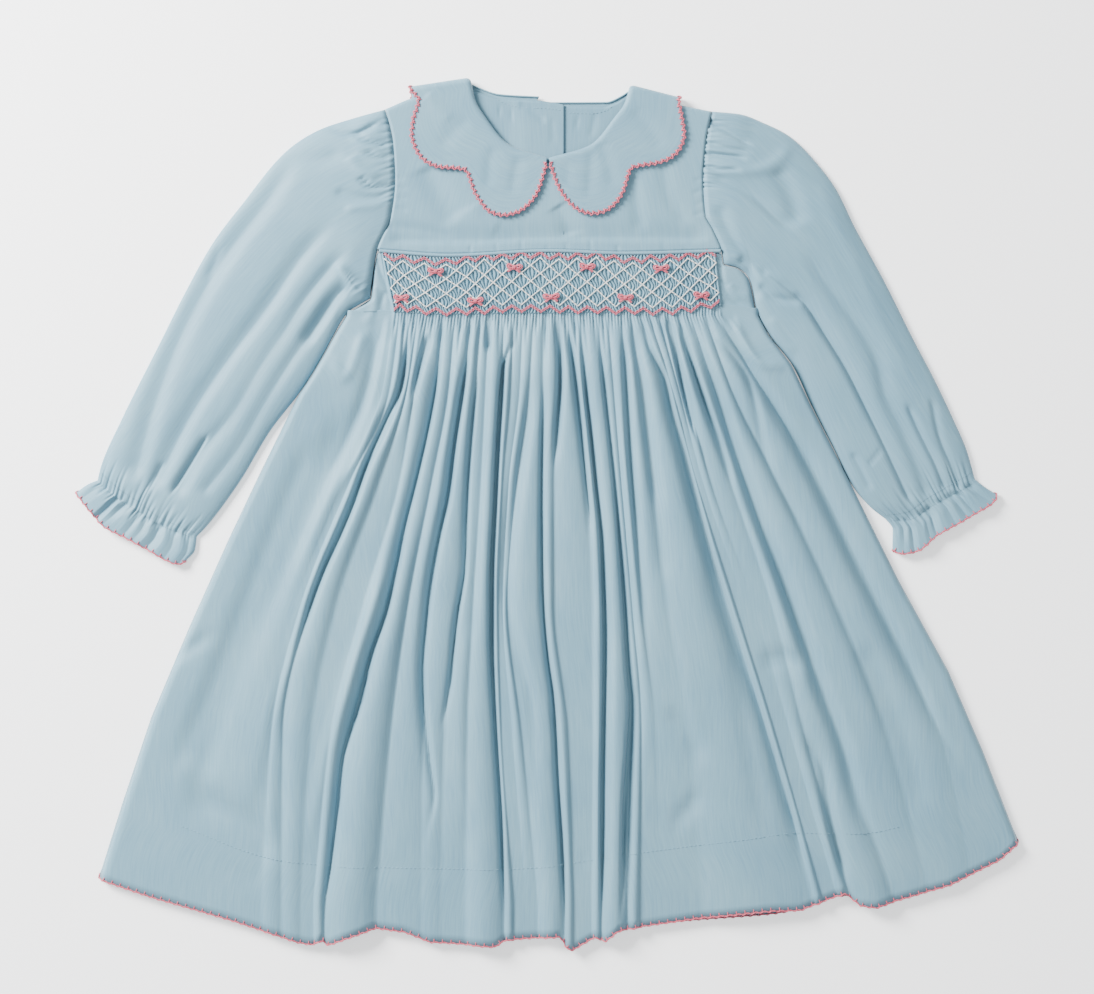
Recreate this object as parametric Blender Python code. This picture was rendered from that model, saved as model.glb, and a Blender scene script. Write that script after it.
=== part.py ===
# Child's smocked dress with long sleeves, laid flat with its front up.
# Every panel is a thin wall of cloth. Sizes and tables are in millimetres:
# x to the right, y up the dress towards the neck, z up from the table it lies on.
import math

import bmesh
import bpy
import numpy as np

MM = 0.001
CENTRE_X = -0.25          # middle of the finished dress in the tables' own x and y
CENTRE_Y = -0.98

# layers, from the table up
LAYER_GAP = 0.3           # between two layers that lie on each other
SEAM_GAP = 0.4            # between two edges that are sewn side by side
WALL_SKIRT = 1.5
WALL_BACK = 1.2
WALL_YOKE = 1.2
WALL_COLLAR = 1.2
WALL_SLEEVE = 1.3
BACK_YOKE_Z = 2.2         # room under the back yokes for the buttons and the collar
LAP_Z = BACK_YOKE_Z + WALL_YOKE + LAYER_GAP
FRONT_YOKE_Z = LAP_Z + WALL_YOKE + LAYER_GAP
COLLAR_TOP = FRONT_YOKE_Z + WALL_YOKE + LAYER_GAP + WALL_COLLAR
SIDE_GAP_LEFT = (0.25, -0.25)   # the skirts keep this far inside the side seams and armholes
SIDE_GAP_RIGHT = (-0.25, -0.25)
SKIRT_REST_Z = WALL_BACK + LAYER_GAP
BAND_Z = 5.0              # plain inside of the smocked band

# smocking, gathers and edges
PLEATS = 105
PLEAT_HEIGHT = 1.1
BAND_WALL = 1.3
INNER_STEPS = 20
SIDE_ROLL = 3.2           # radius that the skirt turns down by at its sides
NECK_ROLL = 3.0
NECK_EDGE = 1.6
HEAD_GATHERS = 9
CUFF_GATHERS = 12
SLEEVE_STEPS = 36
LAP_LEFT = -11.4          # the two back yokes lap between these two lines
LAP_RIGHT = 10.7
PIPING_RADIUS = 1.15
PIPING_Z = 6.1
BUTTON_RADIUS = 4.5
BUTTON_THICK = 1.9
BUTTON_X = -4.2
BUTTON_ROWS = (252.0, 218.0, 184.0)

# outlines, as points x, y
PIPING = ((-110.3, 170.0), (-63.7, 167.0), (1.0, 170.0), (49.5, 168.4), (113.6, 170.0))
ARMHOLE_LEFT = (
    (-105.5, 262.5), (-100.5, 242.0), (-99.0, 216.0), (-101.5, 193.5),
    (-111.0, 170.0), (-114.0, 151.0), (-115.5, 139.5),
)
ARMHOLE_RIGHT = (
    (106.9, 261.0), (103.0, 242.0), (101.0, 216.0), (102.5, 193.5),
    (107.5, 183.5), (113.4, 169.5), (114.6, 161.5),
)
SHOULDER_LEFT = ((-105.5, 262.5), (-88.0, 269.8), (-54.8, 278.0))
SHOULDER_RIGHT = ((54.8, 273.2), (86.0, 265.3), (106.9, 261.0))
NECK_LEFT = ((-49.5, 279.2), (-47.0, 268.5), (-40.6, 257.5), (-24.4, 239.0), (-0.3, 230.6))
NECK_RIGHT = ((0.9, 230.6), (27.6, 239.0), (43.9, 257.5), (50.0, 266.0), (52.7, 274.6))
BACK_NECK_LEFT = ((-53.5, 277.6), (-45.2, 273.6), (-30.9, 269.4), (-4.2, 268.0), (LAP_RIGHT, 265.4))
BACK_NECK_RIGHT = ((LAP_LEFT, 264.6), (11.4, 264.7), (38.0, 264.2), (48.4, 268.5), (54.0, 273.0))

# the collar halves: neck edge and scalloped edge from the centre front to the shoulder,
# then the same two edges from the shoulder to the centre back
COLLAR_LEFT = {
    "neck": ((-0.3, 230.6), (-24.4, 239.0), (-40.6, 257.5), (-47.0, 268.5), (-49.5, 279.2)),
    "edge": (
        (-0.4, 223.0), (-4.9, 209.6), (-14.6, 197.9), (-27.6, 194.0), (-40.6, 198.6),
        (-50.4, 212.9), (-56.9, 223.9), (-73.1, 225.9), (-84.2, 235.6), (-88.1, 248.6),
        (-87.2, 270.7),
    ),
    "back_neck": ((-49.5, 279.2), (-44.5, 276.9), (-31.0, 272.7), (-5.5, 271.2)),
    "back_edge": (
        (-87.2, 270.7), (-87.0, 252.0), (-79.0, 236.5), (-62.0, 229.5), (-55.0, 227.5),
        (-47.0, 222.5), (-31.0, 222.0), (-17.0, 232.0), (-12.5, 248.0), (-9.0, 264.0),
    ),
    "out": (-0.22, 0.975),
}
COLLAR_RIGHT = {
    "neck": ((0.9, 230.6), (27.6, 239.0), (43.9, 257.5), (50.0, 266.0), (52.7, 274.6)),
    "edge": (
        (1.5, 223.0), (9.4, 209.6), (21.1, 196.6), (34.1, 194.0), (43.9, 199.9),
        (52.3, 219.4), (66.6, 224.6), (80.9, 232.4), (88.7, 248.6), (85.2, 266.3),
    ),
    "back_neck": ((52.7, 274.6), (48.0, 271.6), (38.0, 267.6), (2.0, 267.4)),
    "back_edge": (
        (85.2, 266.3), (85.0, 250.0), (77.0, 235.0), (61.0, 228.5), (55.0, 227.0),
        (46.0, 222.0), (30.0, 222.5), (15.0, 232.5), (7.5, 247.0), (4.5, 261.0),
    ),
    "out": (0.245, 0.97),
}

FRONT_HEM = (
    (-292.8, -238.2), (-258.4, -249.9), (-206.4, -264.9), (-160.9, -279.8), (-153.1, -281.1),
    (-146.6, -277.9), (-142.7, -281.1), (-131.6, -276.6), (-112.1, -270.1), (-92.6, -272.7),
    (-76.4, -279.2), (-34.1, -281.8), (-27.6, -277.9), (8.1, -275.3), (12.7, -283.1),
    (16.6, -284.4), (30.9, -275.9), (37.4, -278.5), (45.8, -271.4), (99.1, -263.6),
    (144.6, -258.4), (164.1, -258.4), (193.4, -247.3), (203.1, -255.1), (212.9, -256.4),
    (261.6, -242.1), (294.1, -225.9), (307.1, -214.4),
)
BACK_HEM = (
    (-292.8, -237.4), (-258.4, -248.0), (-206.4, -262.3), (-160.9, -268.8), (-112.1, -268.1),
    (-76.4, -272.7), (-30.9, -274.0), (8.1, -272.7), (47.1, -270.1), (99.1, -265.5),
    (151.1, -261.3), (193.4, -249.9), (229.1, -249.3), (261.6, -240.2), (294.1, -224.6),
    (307.1, -213.6),
)

# smocked band: share of the way down, edge of the panel and of the pleats on either side,
# and how low the edge of the panel turns down
BAND_ROWS = (
    {"down": 0.00, "left": (-111.0, 168.6), "start": -108.2, "end": 109.4, "right": (113.3, 168.6), "low": 5.0},
    {"down": 0.20, "left": (-112.6, 161.0), "start": -106.6, "end": 110.2, "right": (114.6, 161.5), "low": 5.0},
    {"down": 0.45, "left": (-114.2, 150.0), "start": -104.7, "end": 111.1, "right": (124.0, 159.0), "low": 4.4},
    {"down": 0.75, "left": (-115.5, 139.5), "start": -102.4, "end": 112.2, "right": (131.2, 152.5), "low": 2.6},
    {"down": 1.00, "left": (-130.3, 130.3), "start": -100.4, "end": 113.2, "right": (136.2, 131.6), "low": 1.5},
)
BAND_FOOT = ((-100.4, 130.4), (-70.0, 128.8), (0.0, 129.6), (70.0, 130.8), (113.2, 134.6))

# gathers of the front skirt: where each valley lies at six levels below the band,
# and how high the cloth stands beside it there
GATHER_LEVELS = (0.0, 48.0, 108.0, 188.0, 268.0, 380.0)
GATHERS = (
    {"x": (-105, -116, -143, -177, -205, -229), "deep": (2, 3, 2.5, 1, 0, 0)},
    {"x": (-101, -108, -134, -165, -186, -199), "deep": (2, 1, 0, 0, 0, 0)},
    {"x": (-96, -102, -128, -160, -179, -186), "deep": (2, 1.5, 0, 0, 0, 0)},
    {"x": (-89, -95, -122, -154, -172, -173), "deep": (2.5, 5, 6, 5, 4, 2)},
    {"x": (-84, -91, -110, -138, -154, -161), "deep": (2, 1, 0, 0, 0, 0)},
    {"x": (-78, -86, -96, -119, -140, -152), "deep": (3, 3, 1, 0, 0, 0)},
    {"x": (-68, -73, -86, -104, -128, -145), "deep": (2.5, 4, 4, 7, 9, 9)},
    {"x": (-60, -64, -75, -91, -102, -112), "deep": (2, 0.5, 0, 0, 0, 0)},
    {"x": (-49, -55, -64, -78, -81, -82), "deep": (2.5, 6, 5, 4, 3, 1)},
    {"x": (-43, -47, -52, -58, -67, -70), "deep": (2, 2, 2, 3, 3, 0)},
    {"x": (-38, -40, -43, -48, -52, -53), "deep": (3, 2, 0, 0, 0, 0)},
    {"x": (-28, -30, -34, -36, -35, -28), "deep": (2.5, 7, 8, 7, 5, 7)},
    {"x": (-22, -24, -29, -32, -30, -22), "deep": (2, 0.5, 0, 0, 0, 0)},
    {"x": (-16, -18, -25, -29, -23, -14), "deep": (2, 1, 0, 0, 0, 0)},
    {"x": (-9, -12, -20, -26, -17, -6), "deep": (2, 3, 4, 4, 3, 0)},
    {"x": (-3, -3, -4, -3, 5, 11), "deep": (2, 2, 3, 4, 4, 6)},
    {"x": (7, 8, 4, 4, 13, 17), "deep": (2.5, 5, 2, 0, 0, 0)},
    {"x": (13, 18, 25, 30, 30, 29), "deep": (2, 3.5, 3.5, 1, 0, 0)},
    {"x": (21, 25, 31, 36, 36, 35), "deep": (2, 2.5, 3, 5, 6, 8)},
    {"x": (33, 37, 43, 50, 54, 52), "deep": (2, 3, 3, 4, 8, 8)},
    {"x": (39, 43, 48, 55, 61, 60), "deep": (2, 1, 0, 0, 0, 0)},
    {"x": (48, 51, 55, 61, 70, 73), "deep": (2, 3, 5, 3, 1, 0)},
    {"x": (54, 61, 68, 78, 92, 102), "deep": (2, 4, 4, 2, 0.5, 0)},
    {"x": (60, 77, 93, 116, 141, 173), "deep": (2, 4, 7, 8, 5, 6)},
    {"x": (66, 81, 97, 122, 147, 179), "deep": (2, 1, 0, 0, 0, 0)},
    {"x": (72, 85, 101, 128, 152, 184), "deep": (2, 0.5, 0, 0, 0, 0)},
    {"x": (78, 90, 106, 134, 157, 189), "deep": (2.5, 5, 2, 0, 0, 0)},
    {"x": (85, 99, 119, 146, 166, 197), "deep": (2.5, 3, 2, 0, 3, 7)},
    {"x": (93, 109, 129, 158, 188, 225), "deep": (2.5, 5, 7, 7, 4, 1)},
    {"x": (102, 119, 149, 187, 219, 249), "deep": (2.5, 5, 3, 0.5, 0, 0)},
    {"x": (110, 139, 176, 215, 254, 278), "deep": (2, 4, 5, 5, 3, 1.5)},
)
# rows of both skirts: share of the way from the band to the hem, and the two side seams there
SKIRT_ROWS = (
    {"down": 0.00, "left": (-139.4, 115.4), "right": (144.6, 115.4)},
    {"down": 0.04, "left": (-145.3, 104.3), "right": (152.1, 105.7)},
    {"down": 0.09, "left": (-154.4, 88.7), "right": (159.6, 95.9)},
    {"down": 0.16, "left": (-162.8, 76.4), "right": (171.9, 69.9)},
    {"down": 0.26, "left": (-186.9, 27.6), "right": (186.9, 40.6)},
    {"down": 0.37, "left": (-208.5, -18.0), "right": (198.6, 17.6)},
    {"down": 0.50, "left": (-234.0, -75.0), "right": (229.1, -43.9)},
    {"down": 0.64, "left": (-258.5, -133.0), "right": (261.5, -103.0)},
    {"down": 0.78, "left": (-277.5, -189.5), "right": (284.0, -155.0)},
    {"down": 1.00, "left": (-292.8, -238.2), "right": (307.1, -214.4)},
)
RIDGE_SLOPE = 0.42        # most that a ridge stands up for each millimetre between its valleys

# sleeves: outer side from the armhole to the elastic, the underarm with a point for each ring,
# the elastic, and the ruffle with its two sides
SLEEVE_LEFT = {
    "armhole": ARMHOLE_LEFT,
    "outer": (
        (-105.6, 262.3), (-128.4, 256.4), (-147.9, 249.9), (-168.7, 236.9), (-199.9, 199.9),
        (-218.1, 175.8), (-235.6, 144.6), (-251.9, 112.1), (-277.9, 60.1), (-290.9, 30.9),
        (-293.4, 21.0),
    ),
    "under": (
        (-115.5, 139.5), (-130.3, 130.3), (-139.4, 115.4), (-145.3, 104.3), (-154.4, 88.7),
        (-162.8, 76.4), (-180.4, 53.6), (-199.9, 21.1), (-216.1, -1.6), (-223.5, -10.5),
        (-228.6, -15.6),
    ),
    "elastic": (
        (-293.4, 21.0), (-279.8, 10.1), (-268.1, 3.3), (-256.4, -4.9), (-242.8, -10.7),
        (-228.6, -15.6),
    ),
    "ruffle_outer": ((-293.4, 21.0), (-298.7, 18.9), (-307.6, 12.8)),
    "ruffle_under": ((-228.6, -15.6), (-229.8, -24.4), (-235.6, -31.5)),
    "ruffle": (
        (-307.6, 12.8), (-296.1, -0.9), (-288.9, -8.8), (-273.3, -17.1), (-256.5, -26.3),
        (-247.3, -31.5), (-240.2, -33.7), (-235.6, -31.5),
    ),
    "side": -1.0,
}
SLEEVE_RIGHT = {
    "armhole": ARMHOLE_RIGHT,
    "outer": (
        (106.9, 261.0), (125.1, 259.7), (141.4, 253.8), (157.6, 245.4), (177.1, 225.9),
        (188.8, 209.6), (199.9, 186.9), (219.4, 151.1), (238.9, 112.1), (251.9, 87.4),
        (264.9, 60.1), (273.3, 40.6), (278.6, 21.8),
    ),
    "under": (
        (114.6, 161.5), (124.0, 159.0), (131.2, 152.5), (136.2, 131.6), (144.6, 115.4),
        (159.6, 95.9), (171.9, 69.9), (186.9, 40.6), (198.6, 17.6), (210.3, 3.6),
        (220.3, -4.2),
    ),
    "elastic": (
        (278.6, 21.8), (272.5, 17.9), (260.1, 11.2), (249.3, 5.5), (235.2, -3.0), (220.3, -4.2),
    ),
    "ruffle_outer": ((278.6, 21.8), (286.0, 16.0), (292.8, 12.0)),
    "ruffle_under": ((220.3, -4.2), (225.0, -11.0), (224.8, -24.6)),
    "ruffle": (
        (292.8, 12.0), (291.5, 7.9), (280.7, 0.5), (269.2, -6.2), (254.2, -14.5),
        (239.3, -25.7), (230.2, -27.0), (224.8, -24.6),
    ),
    "side": 1.0,
}
# rings of a sleeve: fraction of its length, height of its top, gathers of the head and of the cuff
SLEEVE_RINGS = (
    {"at": 0.00, "top": 7.2, "head": 0.5, "cuff": 0.0},
    {"at": 0.025, "top": 7.8, "head": 1.4, "cuff": 0.0},
    {"at": 0.08, "top": 7.8, "head": 1.5, "cuff": 0.0},
    {"at": 0.15, "top": 7.3, "head": 0.9, "cuff": 0.0},
    {"at": 0.25, "top": 6.9, "head": 0.4, "cuff": 0.0},
    {"at": 0.37, "top": 6.6, "head": 0.1, "cuff": 0.0},
    {"at": 0.51, "top": 6.4, "head": 0.0, "cuff": 0.1},
    {"at": 0.67, "top": 6.3, "head": 0.0, "cuff": 0.4},
    {"at": 0.82, "top": 6.2, "head": 0.0, "cuff": 1.0},
    {"at": 0.94, "top": 5.6, "head": 0.0, "cuff": 1.2},
    {"at": 1.00, "top": 4.8, "head": 0.0, "cuff": 0.8},
)
RUFFLE_RINGS = (
    {"at": 0.00, "top": 4.8, "head": 0.0, "cuff": 0.8},
    {"at": 0.35, "top": 5.4, "head": 0.0, "cuff": 1.6},
    {"at": 1.00, "top": 6.0, "head": 0.0, "cuff": 2.2},
)


def look(name, colour, roughness):
    material = bpy.data.materials.new(name)
    material.use_nodes = True
    shader = material.node_tree.nodes["Principled BSDF"]
    shader.inputs["Base Color"].default_value = (*colour, 1.0)
    shader.inputs["Roughness"].default_value = roughness
    return material


def ease(value):
    # 0 below nought, 1 above one, soft between
    value = np.clip(value, 0.0, 1.0)
    return value * value * (3.0 - 2.0 * value)


def soft(levels, values, at):
    # a smooth run through a table's values that never goes past them
    x = np.asarray(levels, float)
    y = np.asarray(values, float)
    step = np.diff(x)
    slope = np.diff(y) / step
    lean = np.zeros(len(x))
    lean[0] = slope[0]
    lean[-1] = slope[-1]
    for k in range(1, len(x) - 1):
        if slope[k - 1] * slope[k] > 0.0:
            lean[k] = 2.0 * slope[k - 1] * slope[k] / (slope[k - 1] + slope[k])
    at = np.clip(np.asarray(at, float), x[0], x[-1])
    k = np.clip(np.searchsorted(x, at, side="right") - 1, 0, len(x) - 2)
    t = (at - x[k]) / step[k]
    return (
        y[k] * (1 + 2 * t) * (1 - t) ** 2
        + lean[k] * step[k] * t * (1 - t) ** 2
        + y[k + 1] * t * t * (3 - 2 * t)
        + lean[k + 1] * step[k] * t * t * (t - 1)
    )


def curve(points, at):
    # places on a soft line through the points, by fraction of its length
    points = np.asarray(points, float)
    length = np.r_[0.0, np.cumsum(np.linalg.norm(np.diff(points, axis=0), axis=1))]
    at = np.asarray(at, float) * length[-1]
    return np.stack([soft(length, points[:, k], at) for k in (0, 1)], axis=-1)


def height_at(points, x):
    # y of an outline at the given x
    points = np.asarray(points, float)
    return np.interp(x, points[:, 0], points[:, 1])


def piping_y(x):
    # height of the piping's line at the given x
    return soft([p[0] for p in PIPING], [p[1] for p in PIPING], x)


def x_at(points, y):
    # x of a side at the given y, for a side that runs downwards
    points = np.asarray(points, float)
    return soft(-points[:, 1], points[:, 0], -np.asarray(y, float))


def beside(line, gap):
    # the same line moved sideways by the gap, to its right as it runs
    way = np.gradient(line, axis=0)
    way /= np.linalg.norm(way, axis=1)[:, None]
    return line + gap * np.stack([way[:, 1], -way[:, 0]], axis=-1)


def patch(top, bottom, left, right, u, v):
    # fills the space between four edges, row by row from the top
    top, bottom = np.array(top), np.array(bottom)
    left, right = np.array(left), np.array(right)
    top[0], top[-1], bottom[0], bottom[-1] = left[0], right[0], left[-1], right[-1]
    u = np.asarray(u, float)[None, :, None]
    v = np.asarray(v, float)[:, None, None]
    corners = (
        (1 - u) * (1 - v) * top[0] + u * (1 - v) * top[-1]
        + (1 - u) * v * bottom[0] + u * v * bottom[-1]
    )
    return (1 - v) * top + v * bottom + (1 - u) * left[:, None] + u * right[:, None] - corners


def raised(flat, z):
    return np.concatenate([flat, np.broadcast_to(z, flat.shape[:-1])[..., None]], axis=-1)


class Body:
    # the points and faces of one closed piece
    def __init__(self):
        self.points = []
        self.faces = []

    def row(self, points):
        first = len(self.points)
        self.points.extend(tuple(map(float, p)) for p in points)
        return list(range(first, len(self.points)))

    def place(self, row):
        x = np.array([self.points[k][0] for k in row])
        return (x - x[0]) / (x[-1] - x[0])

    def strip(self, a, b):
        if len(a) == len(b):
            for k in range(len(a) - 1):
                self.faces.append((a[k], a[k + 1], b[k + 1], b[k]))
            return
        along_a, along_b = self.place(a), self.place(b)
        i = j = 0
        while i < len(a) - 1 or j < len(b) - 1:
            last_a, last_b = i == len(a) - 1, j == len(b) - 1
            if last_b or (not last_a and along_a[i + 1] <= along_b[j + 1]):
                self.faces.append((a[i], a[i + 1], b[j]))
                i += 1
            else:
                self.faces.append((a[i], b[j + 1], b[j]))
                j += 1

    def wall(self, outer, inner):
        # joins the rows of both faces and closes the wall all round
        for face in (outer, inner):
            for a, b in zip(face, face[1:]):
                self.strip(a, b)
        self.strip(outer[0], inner[0])
        self.strip(outer[-1], inner[-1])
        for end in (0, -1):
            self.strip([r[end] for r in outer], [r[end] for r in inner])

    def finish(self, name, material):
        mesh = bpy.data.meshes.new(name)
        shift = np.array([CENTRE_X, CENTRE_Y, 0.0])
        mesh.from_pydata([tuple((np.array(p) - shift) * MM) for p in self.points], [], self.faces)
        shape = bmesh.new()
        shape.from_mesh(mesh)
        bmesh.ops.triangulate(shape, faces=shape.faces[:])
        bmesh.ops.recalc_face_normals(shape, faces=shape.faces[:])
        shape.to_mesh(mesh)
        shape.free()
        body = bpy.data.objects.new(name, mesh)
        bpy.context.scene.collection.objects.link(body)
        mesh.materials.append(material)
        for face in mesh.polygons:
            face.use_smooth = True
        return body


def sheet(name, material, outer, inner):
    body = Body()
    body.wall([body.row(r) for r in outer], [body.row(r) for r in inner])
    return body.finish(name, material)


def table_lift(y):
    # the back rises from the table to the back yokes above the buttons
    return BACK_YOKE_Z * ease((y - 148.0) / 20.0)


def skirt_rest(y):
    # underside of the front skirt: on the back at the hem, at the band's level at the top
    return SKIRT_REST_Z + (BAND_Z - SKIRT_REST_Z) * ease((y - 30.0) / 98.0)


def front_skirt(material):
    depths = np.linspace(0.0, 420.0, 106)
    valley = np.array([soft(GATHER_LEVELS, g["x"], depths) for g in GATHERS])
    deep = np.array([soft(GATHER_LEVELS, g["deep"], depths) for g in GATHERS])
    width = np.diff(valley, axis=0)
    ridge = np.minimum(0.75 * np.maximum(deep[:-1], deep[1:]), RIDGE_SLOPE * width)
    lower = np.minimum(np.concatenate([ridge[:1], ridge]), np.concatenate([ridge, ridge[-1:]]))
    floor = np.maximum(0.0, lower - deep)
    columns = []
    for k in range(len(GATHERS) - 1):
        for share, rise in ((0.0, 0.0), (0.3, 0.85), (0.7, 0.9)):
            near = floor[k] if share <= 0.5 else floor[k + 1]
            columns.append((valley[k] + share * width[k], near + rise * (ridge[k] - near)))
    columns.append((valley[-1], floor[-1]))

    roll = np.array([0.0, 0.13, 0.45, 1.0])

    def side_run(edge, near, edge_low, wall, hem):
        # from the turned-down edge of the panel to its first column, for one face of the wall
        reach = abs(near[0] - edge[0])
        radius = min(SIDE_ROLL, 0.55 * reach)
        inset = min(wall, 0.5 * radius) if wall > 0.0 else 0.0
        along = np.r_[inset + (radius - inset) * roll, radius + (reach - radius) * np.array([0.35, 0.7])]
        share = along / reach
        x = edge[0] + (near[0] - edge[0]) * share
        y = edge[1] + (near[1] - edge[1]) * share
        if hem > 0.0:
            y = y + hem * (height_at(FRONT_HEM, x) - y)
        full = near[2] - 0.25 * (near[2] - skirt_rest(near[1])) * (1.0 - share)
        round_off = np.ones(len(along))
        round_off[:4] = np.sqrt(1.0 - (1.0 - roll) ** 2)
        z = edge_low + (full - edge_low) * round_off
        return np.stack([x, y, z], axis=-1)

    def full_row(middle, row, low, wall, hem=0.0):
        left = side_run(np.add(row["left"], SIDE_GAP_LEFT), middle[0], low, wall, hem)
        right = side_run(np.add(row["right"], SIDE_GAP_RIGHT), middle[-1], low, wall, hem)[::-1]
        return np.concatenate([left, middle, right])

    outer, inner = [], []
    for row in BAND_ROWS:
        for face, steps, wall in ((outer, 2 * PLEATS, 0.0), (inner, INNER_STEPS, WALL_SKIRT)):
            x = np.linspace(row["start"], row["end"], steps + 1)
            top = piping_y(x) - PIPING_RADIUS - LAYER_GAP
            y = top + row["down"] * (height_at(BAND_FOOT, x) - top)
            z = np.full(len(x), BAND_Z)
            if face is outer:
                z += BAND_WALL + PLEAT_HEIGHT * (np.arange(len(x)) % 2)
            middle = np.stack([x, y, z], axis=-1)
            face.append(full_row(middle, row, row["low"], wall))
    for row in SKIRT_ROWS:
        down = row["down"]
        points = []
        for across, stand in columns:
            hem_y = height_at(FRONT_HEM, across[-1])
            foot_y = height_at(BAND_FOOT, across[0]) - 4.0
            y = foot_y + down * (hem_y - foot_y)
            x = np.interp(128.0 - y, depths, across)
            points.append((x, y, np.interp(128.0 - y, depths, stand)))
        points = np.array(points)
        for face, lift, wall in ((outer, WALL_SKIRT, 0.0), (inner, 0.0, WALL_SKIRT)):
            middle = points.copy()
            middle[:, 2] += skirt_rest(points[:, 1]) + lift
            face.append(full_row(middle, row, SKIRT_REST_Z, wall, float(down == 1.0)))
    return sheet("front_skirt", material, outer, inner)


def back_skirt(material):
    u = np.linspace(0.0, 1.0, 16)
    rows = BAND_ROWS + SKIRT_ROWS
    v = np.r_[0.1 * np.array([row["down"] for row in BAND_ROWS]),
              0.12 + 0.88 * np.array([row["down"] for row in SKIRT_ROWS])]
    left = np.array([row["left"] for row in rows]) + SIDE_GAP_LEFT
    right = np.array([row["right"] for row in rows]) + SIDE_GAP_RIGHT
    top = curve(PIPING, u) - (0.0, SEAM_GAP / 2)
    left[0], right[0] = top[0] + (0.1, 0.0), top[-1] - (0.3, 0.0)
    left[-1], right[-1] = BACK_HEM[0], BACK_HEM[-1]
    flat = patch(top, curve(BACK_HEM, u), left, right, u, v)
    rest = table_lift(flat[..., 1])
    return sheet("back_skirt", material, raised(flat, rest + WALL_BACK), raised(flat, rest))


def yoke_plan(top, left, right, gap, v):
    # a yoke from its shoulder and neck line down to the piping; left and right give x at a y
    u = (top[:, 0] - top[0, 0]) / (top[-1, 0] - top[0, 0])
    sides = []
    for end, side in ((0, left), (-1, right)):
        foot = piping_y(side(170.0)) + gap
        y = top[end, 1] + v * (foot - top[end, 1])
        sides.append(np.stack([side(y) + 0.0 * y, y], axis=-1))
    bottom_x = sides[0][-1, 0] + u * (sides[1][-1, 0] - sides[0][-1, 0])
    bottom = np.stack([bottom_x, piping_y(bottom_x) + gap], axis=-1)
    return patch(top, bottom, sides[0], sides[1], u, v)


def armhole_left(y):
    return x_at(ARMHOLE_LEFT, y) + SEAM_GAP


def armhole_right(y):
    return x_at(ARMHOLE_RIGHT, y) - SEAM_GAP


def front_yoke(material):
    neck = beside(curve(NECK_LEFT + NECK_RIGHT, np.linspace(0.03, 0.97, 19)), NECK_ROLL + SEAM_GAP)
    shoulders = (curve(SHOULDER_LEFT, np.linspace(0.0, 1.0, 5)), curve(SHOULDER_RIGHT, np.linspace(0.0, 1.0, 5)))
    top = np.concatenate([shoulders[0], neck, shoulders[1]])
    turn = np.r_[1, 1, 1, 1, 0.8, np.zeros(19), 0.8, 1, 1, 1, 1]
    radius = 2.6
    length = 92.0
    roll = np.array([0.0, 0.13, 0.45, 1.0])
    v = np.r_[roll * radius / length, 0.16, 0.32, 0.48, 0.62, 0.72, 0.8, 0.87, 0.94, 1.0]
    flat = yoke_plan(top, armhole_left, armhole_right, PIPING_RADIUS + LAYER_GAP, v)
    round_off = np.ones(len(v))
    round_off[:4] = np.sqrt(1.0 - (1.0 - roll) ** 2)
    low = LAP_Z + (1.0 - turn) * (FRONT_YOKE_Z - LAP_Z)
    outer_top = FRONT_YOKE_Z + WALL_YOKE
    outer_low = low + (1.0 - turn) * WALL_YOKE
    outer = raised(flat, outer_low + (outer_top - outer_low) * round_off[:, None])
    inner_v = v.copy()
    inner_v[:4] = (WALL_YOKE + (radius - WALL_YOKE) * roll) / length
    inner = np.empty_like(outer)
    for k in range(len(top)):
        at = v + turn[k] * (inner_v - v)
        for axis in (0, 1):
            inner[:, k, axis] = np.interp(at, v, flat[:, k, axis])
        inner[:, k, 2] = low[k] + (FRONT_YOKE_Z - low[k]) * round_off
    return sheet("front_yoke", material, outer, inner)


def back_yokes(material):
    v = np.array([0.0, 0.16, 0.32, 0.48, 0.62, 0.72, 0.8, 0.9, 1.0])
    across = np.array([-44.0, -36.0, -28.0, -21.0, -17.4, -15.7, -14.1, -12.4, -5.0, 3.0, LAP_RIGHT])
    neck = np.stack([across, height_at(BACK_NECK_LEFT, across)], axis=-1)
    top = np.concatenate([curve(SHOULDER_LEFT, np.linspace(0.0, 1.0, 5)), neck])
    flat = yoke_plan(top, armhole_left, lambda y: LAP_RIGHT, SEAM_GAP / 2, v)
    z = BACK_YOKE_Z + (LAP_Z - BACK_YOKE_Z) * ease((flat[..., 0] - (LAP_LEFT - 6.0)) / 5.0)
    sheet("back_yoke_right", material, raised(flat, z + WALL_YOKE), raised(flat, z))

    across = np.array([LAP_LEFT, 0.0, 11.0, 20.0, 29.0, 38.0, 46.0])
    neck = np.stack([across, height_at(BACK_NECK_RIGHT, across)], axis=-1)
    top = np.concatenate([neck, curve(SHOULDER_RIGHT, np.linspace(0.0, 1.0, 5))])
    flat = yoke_plan(top, lambda y: LAP_LEFT, armhole_right, SEAM_GAP / 2, v)
    sheet(
        "back_yoke_left", material, raised(flat, BACK_YOKE_Z + WALL_YOKE), raised(flat, BACK_YOKE_Z)
    )


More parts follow.
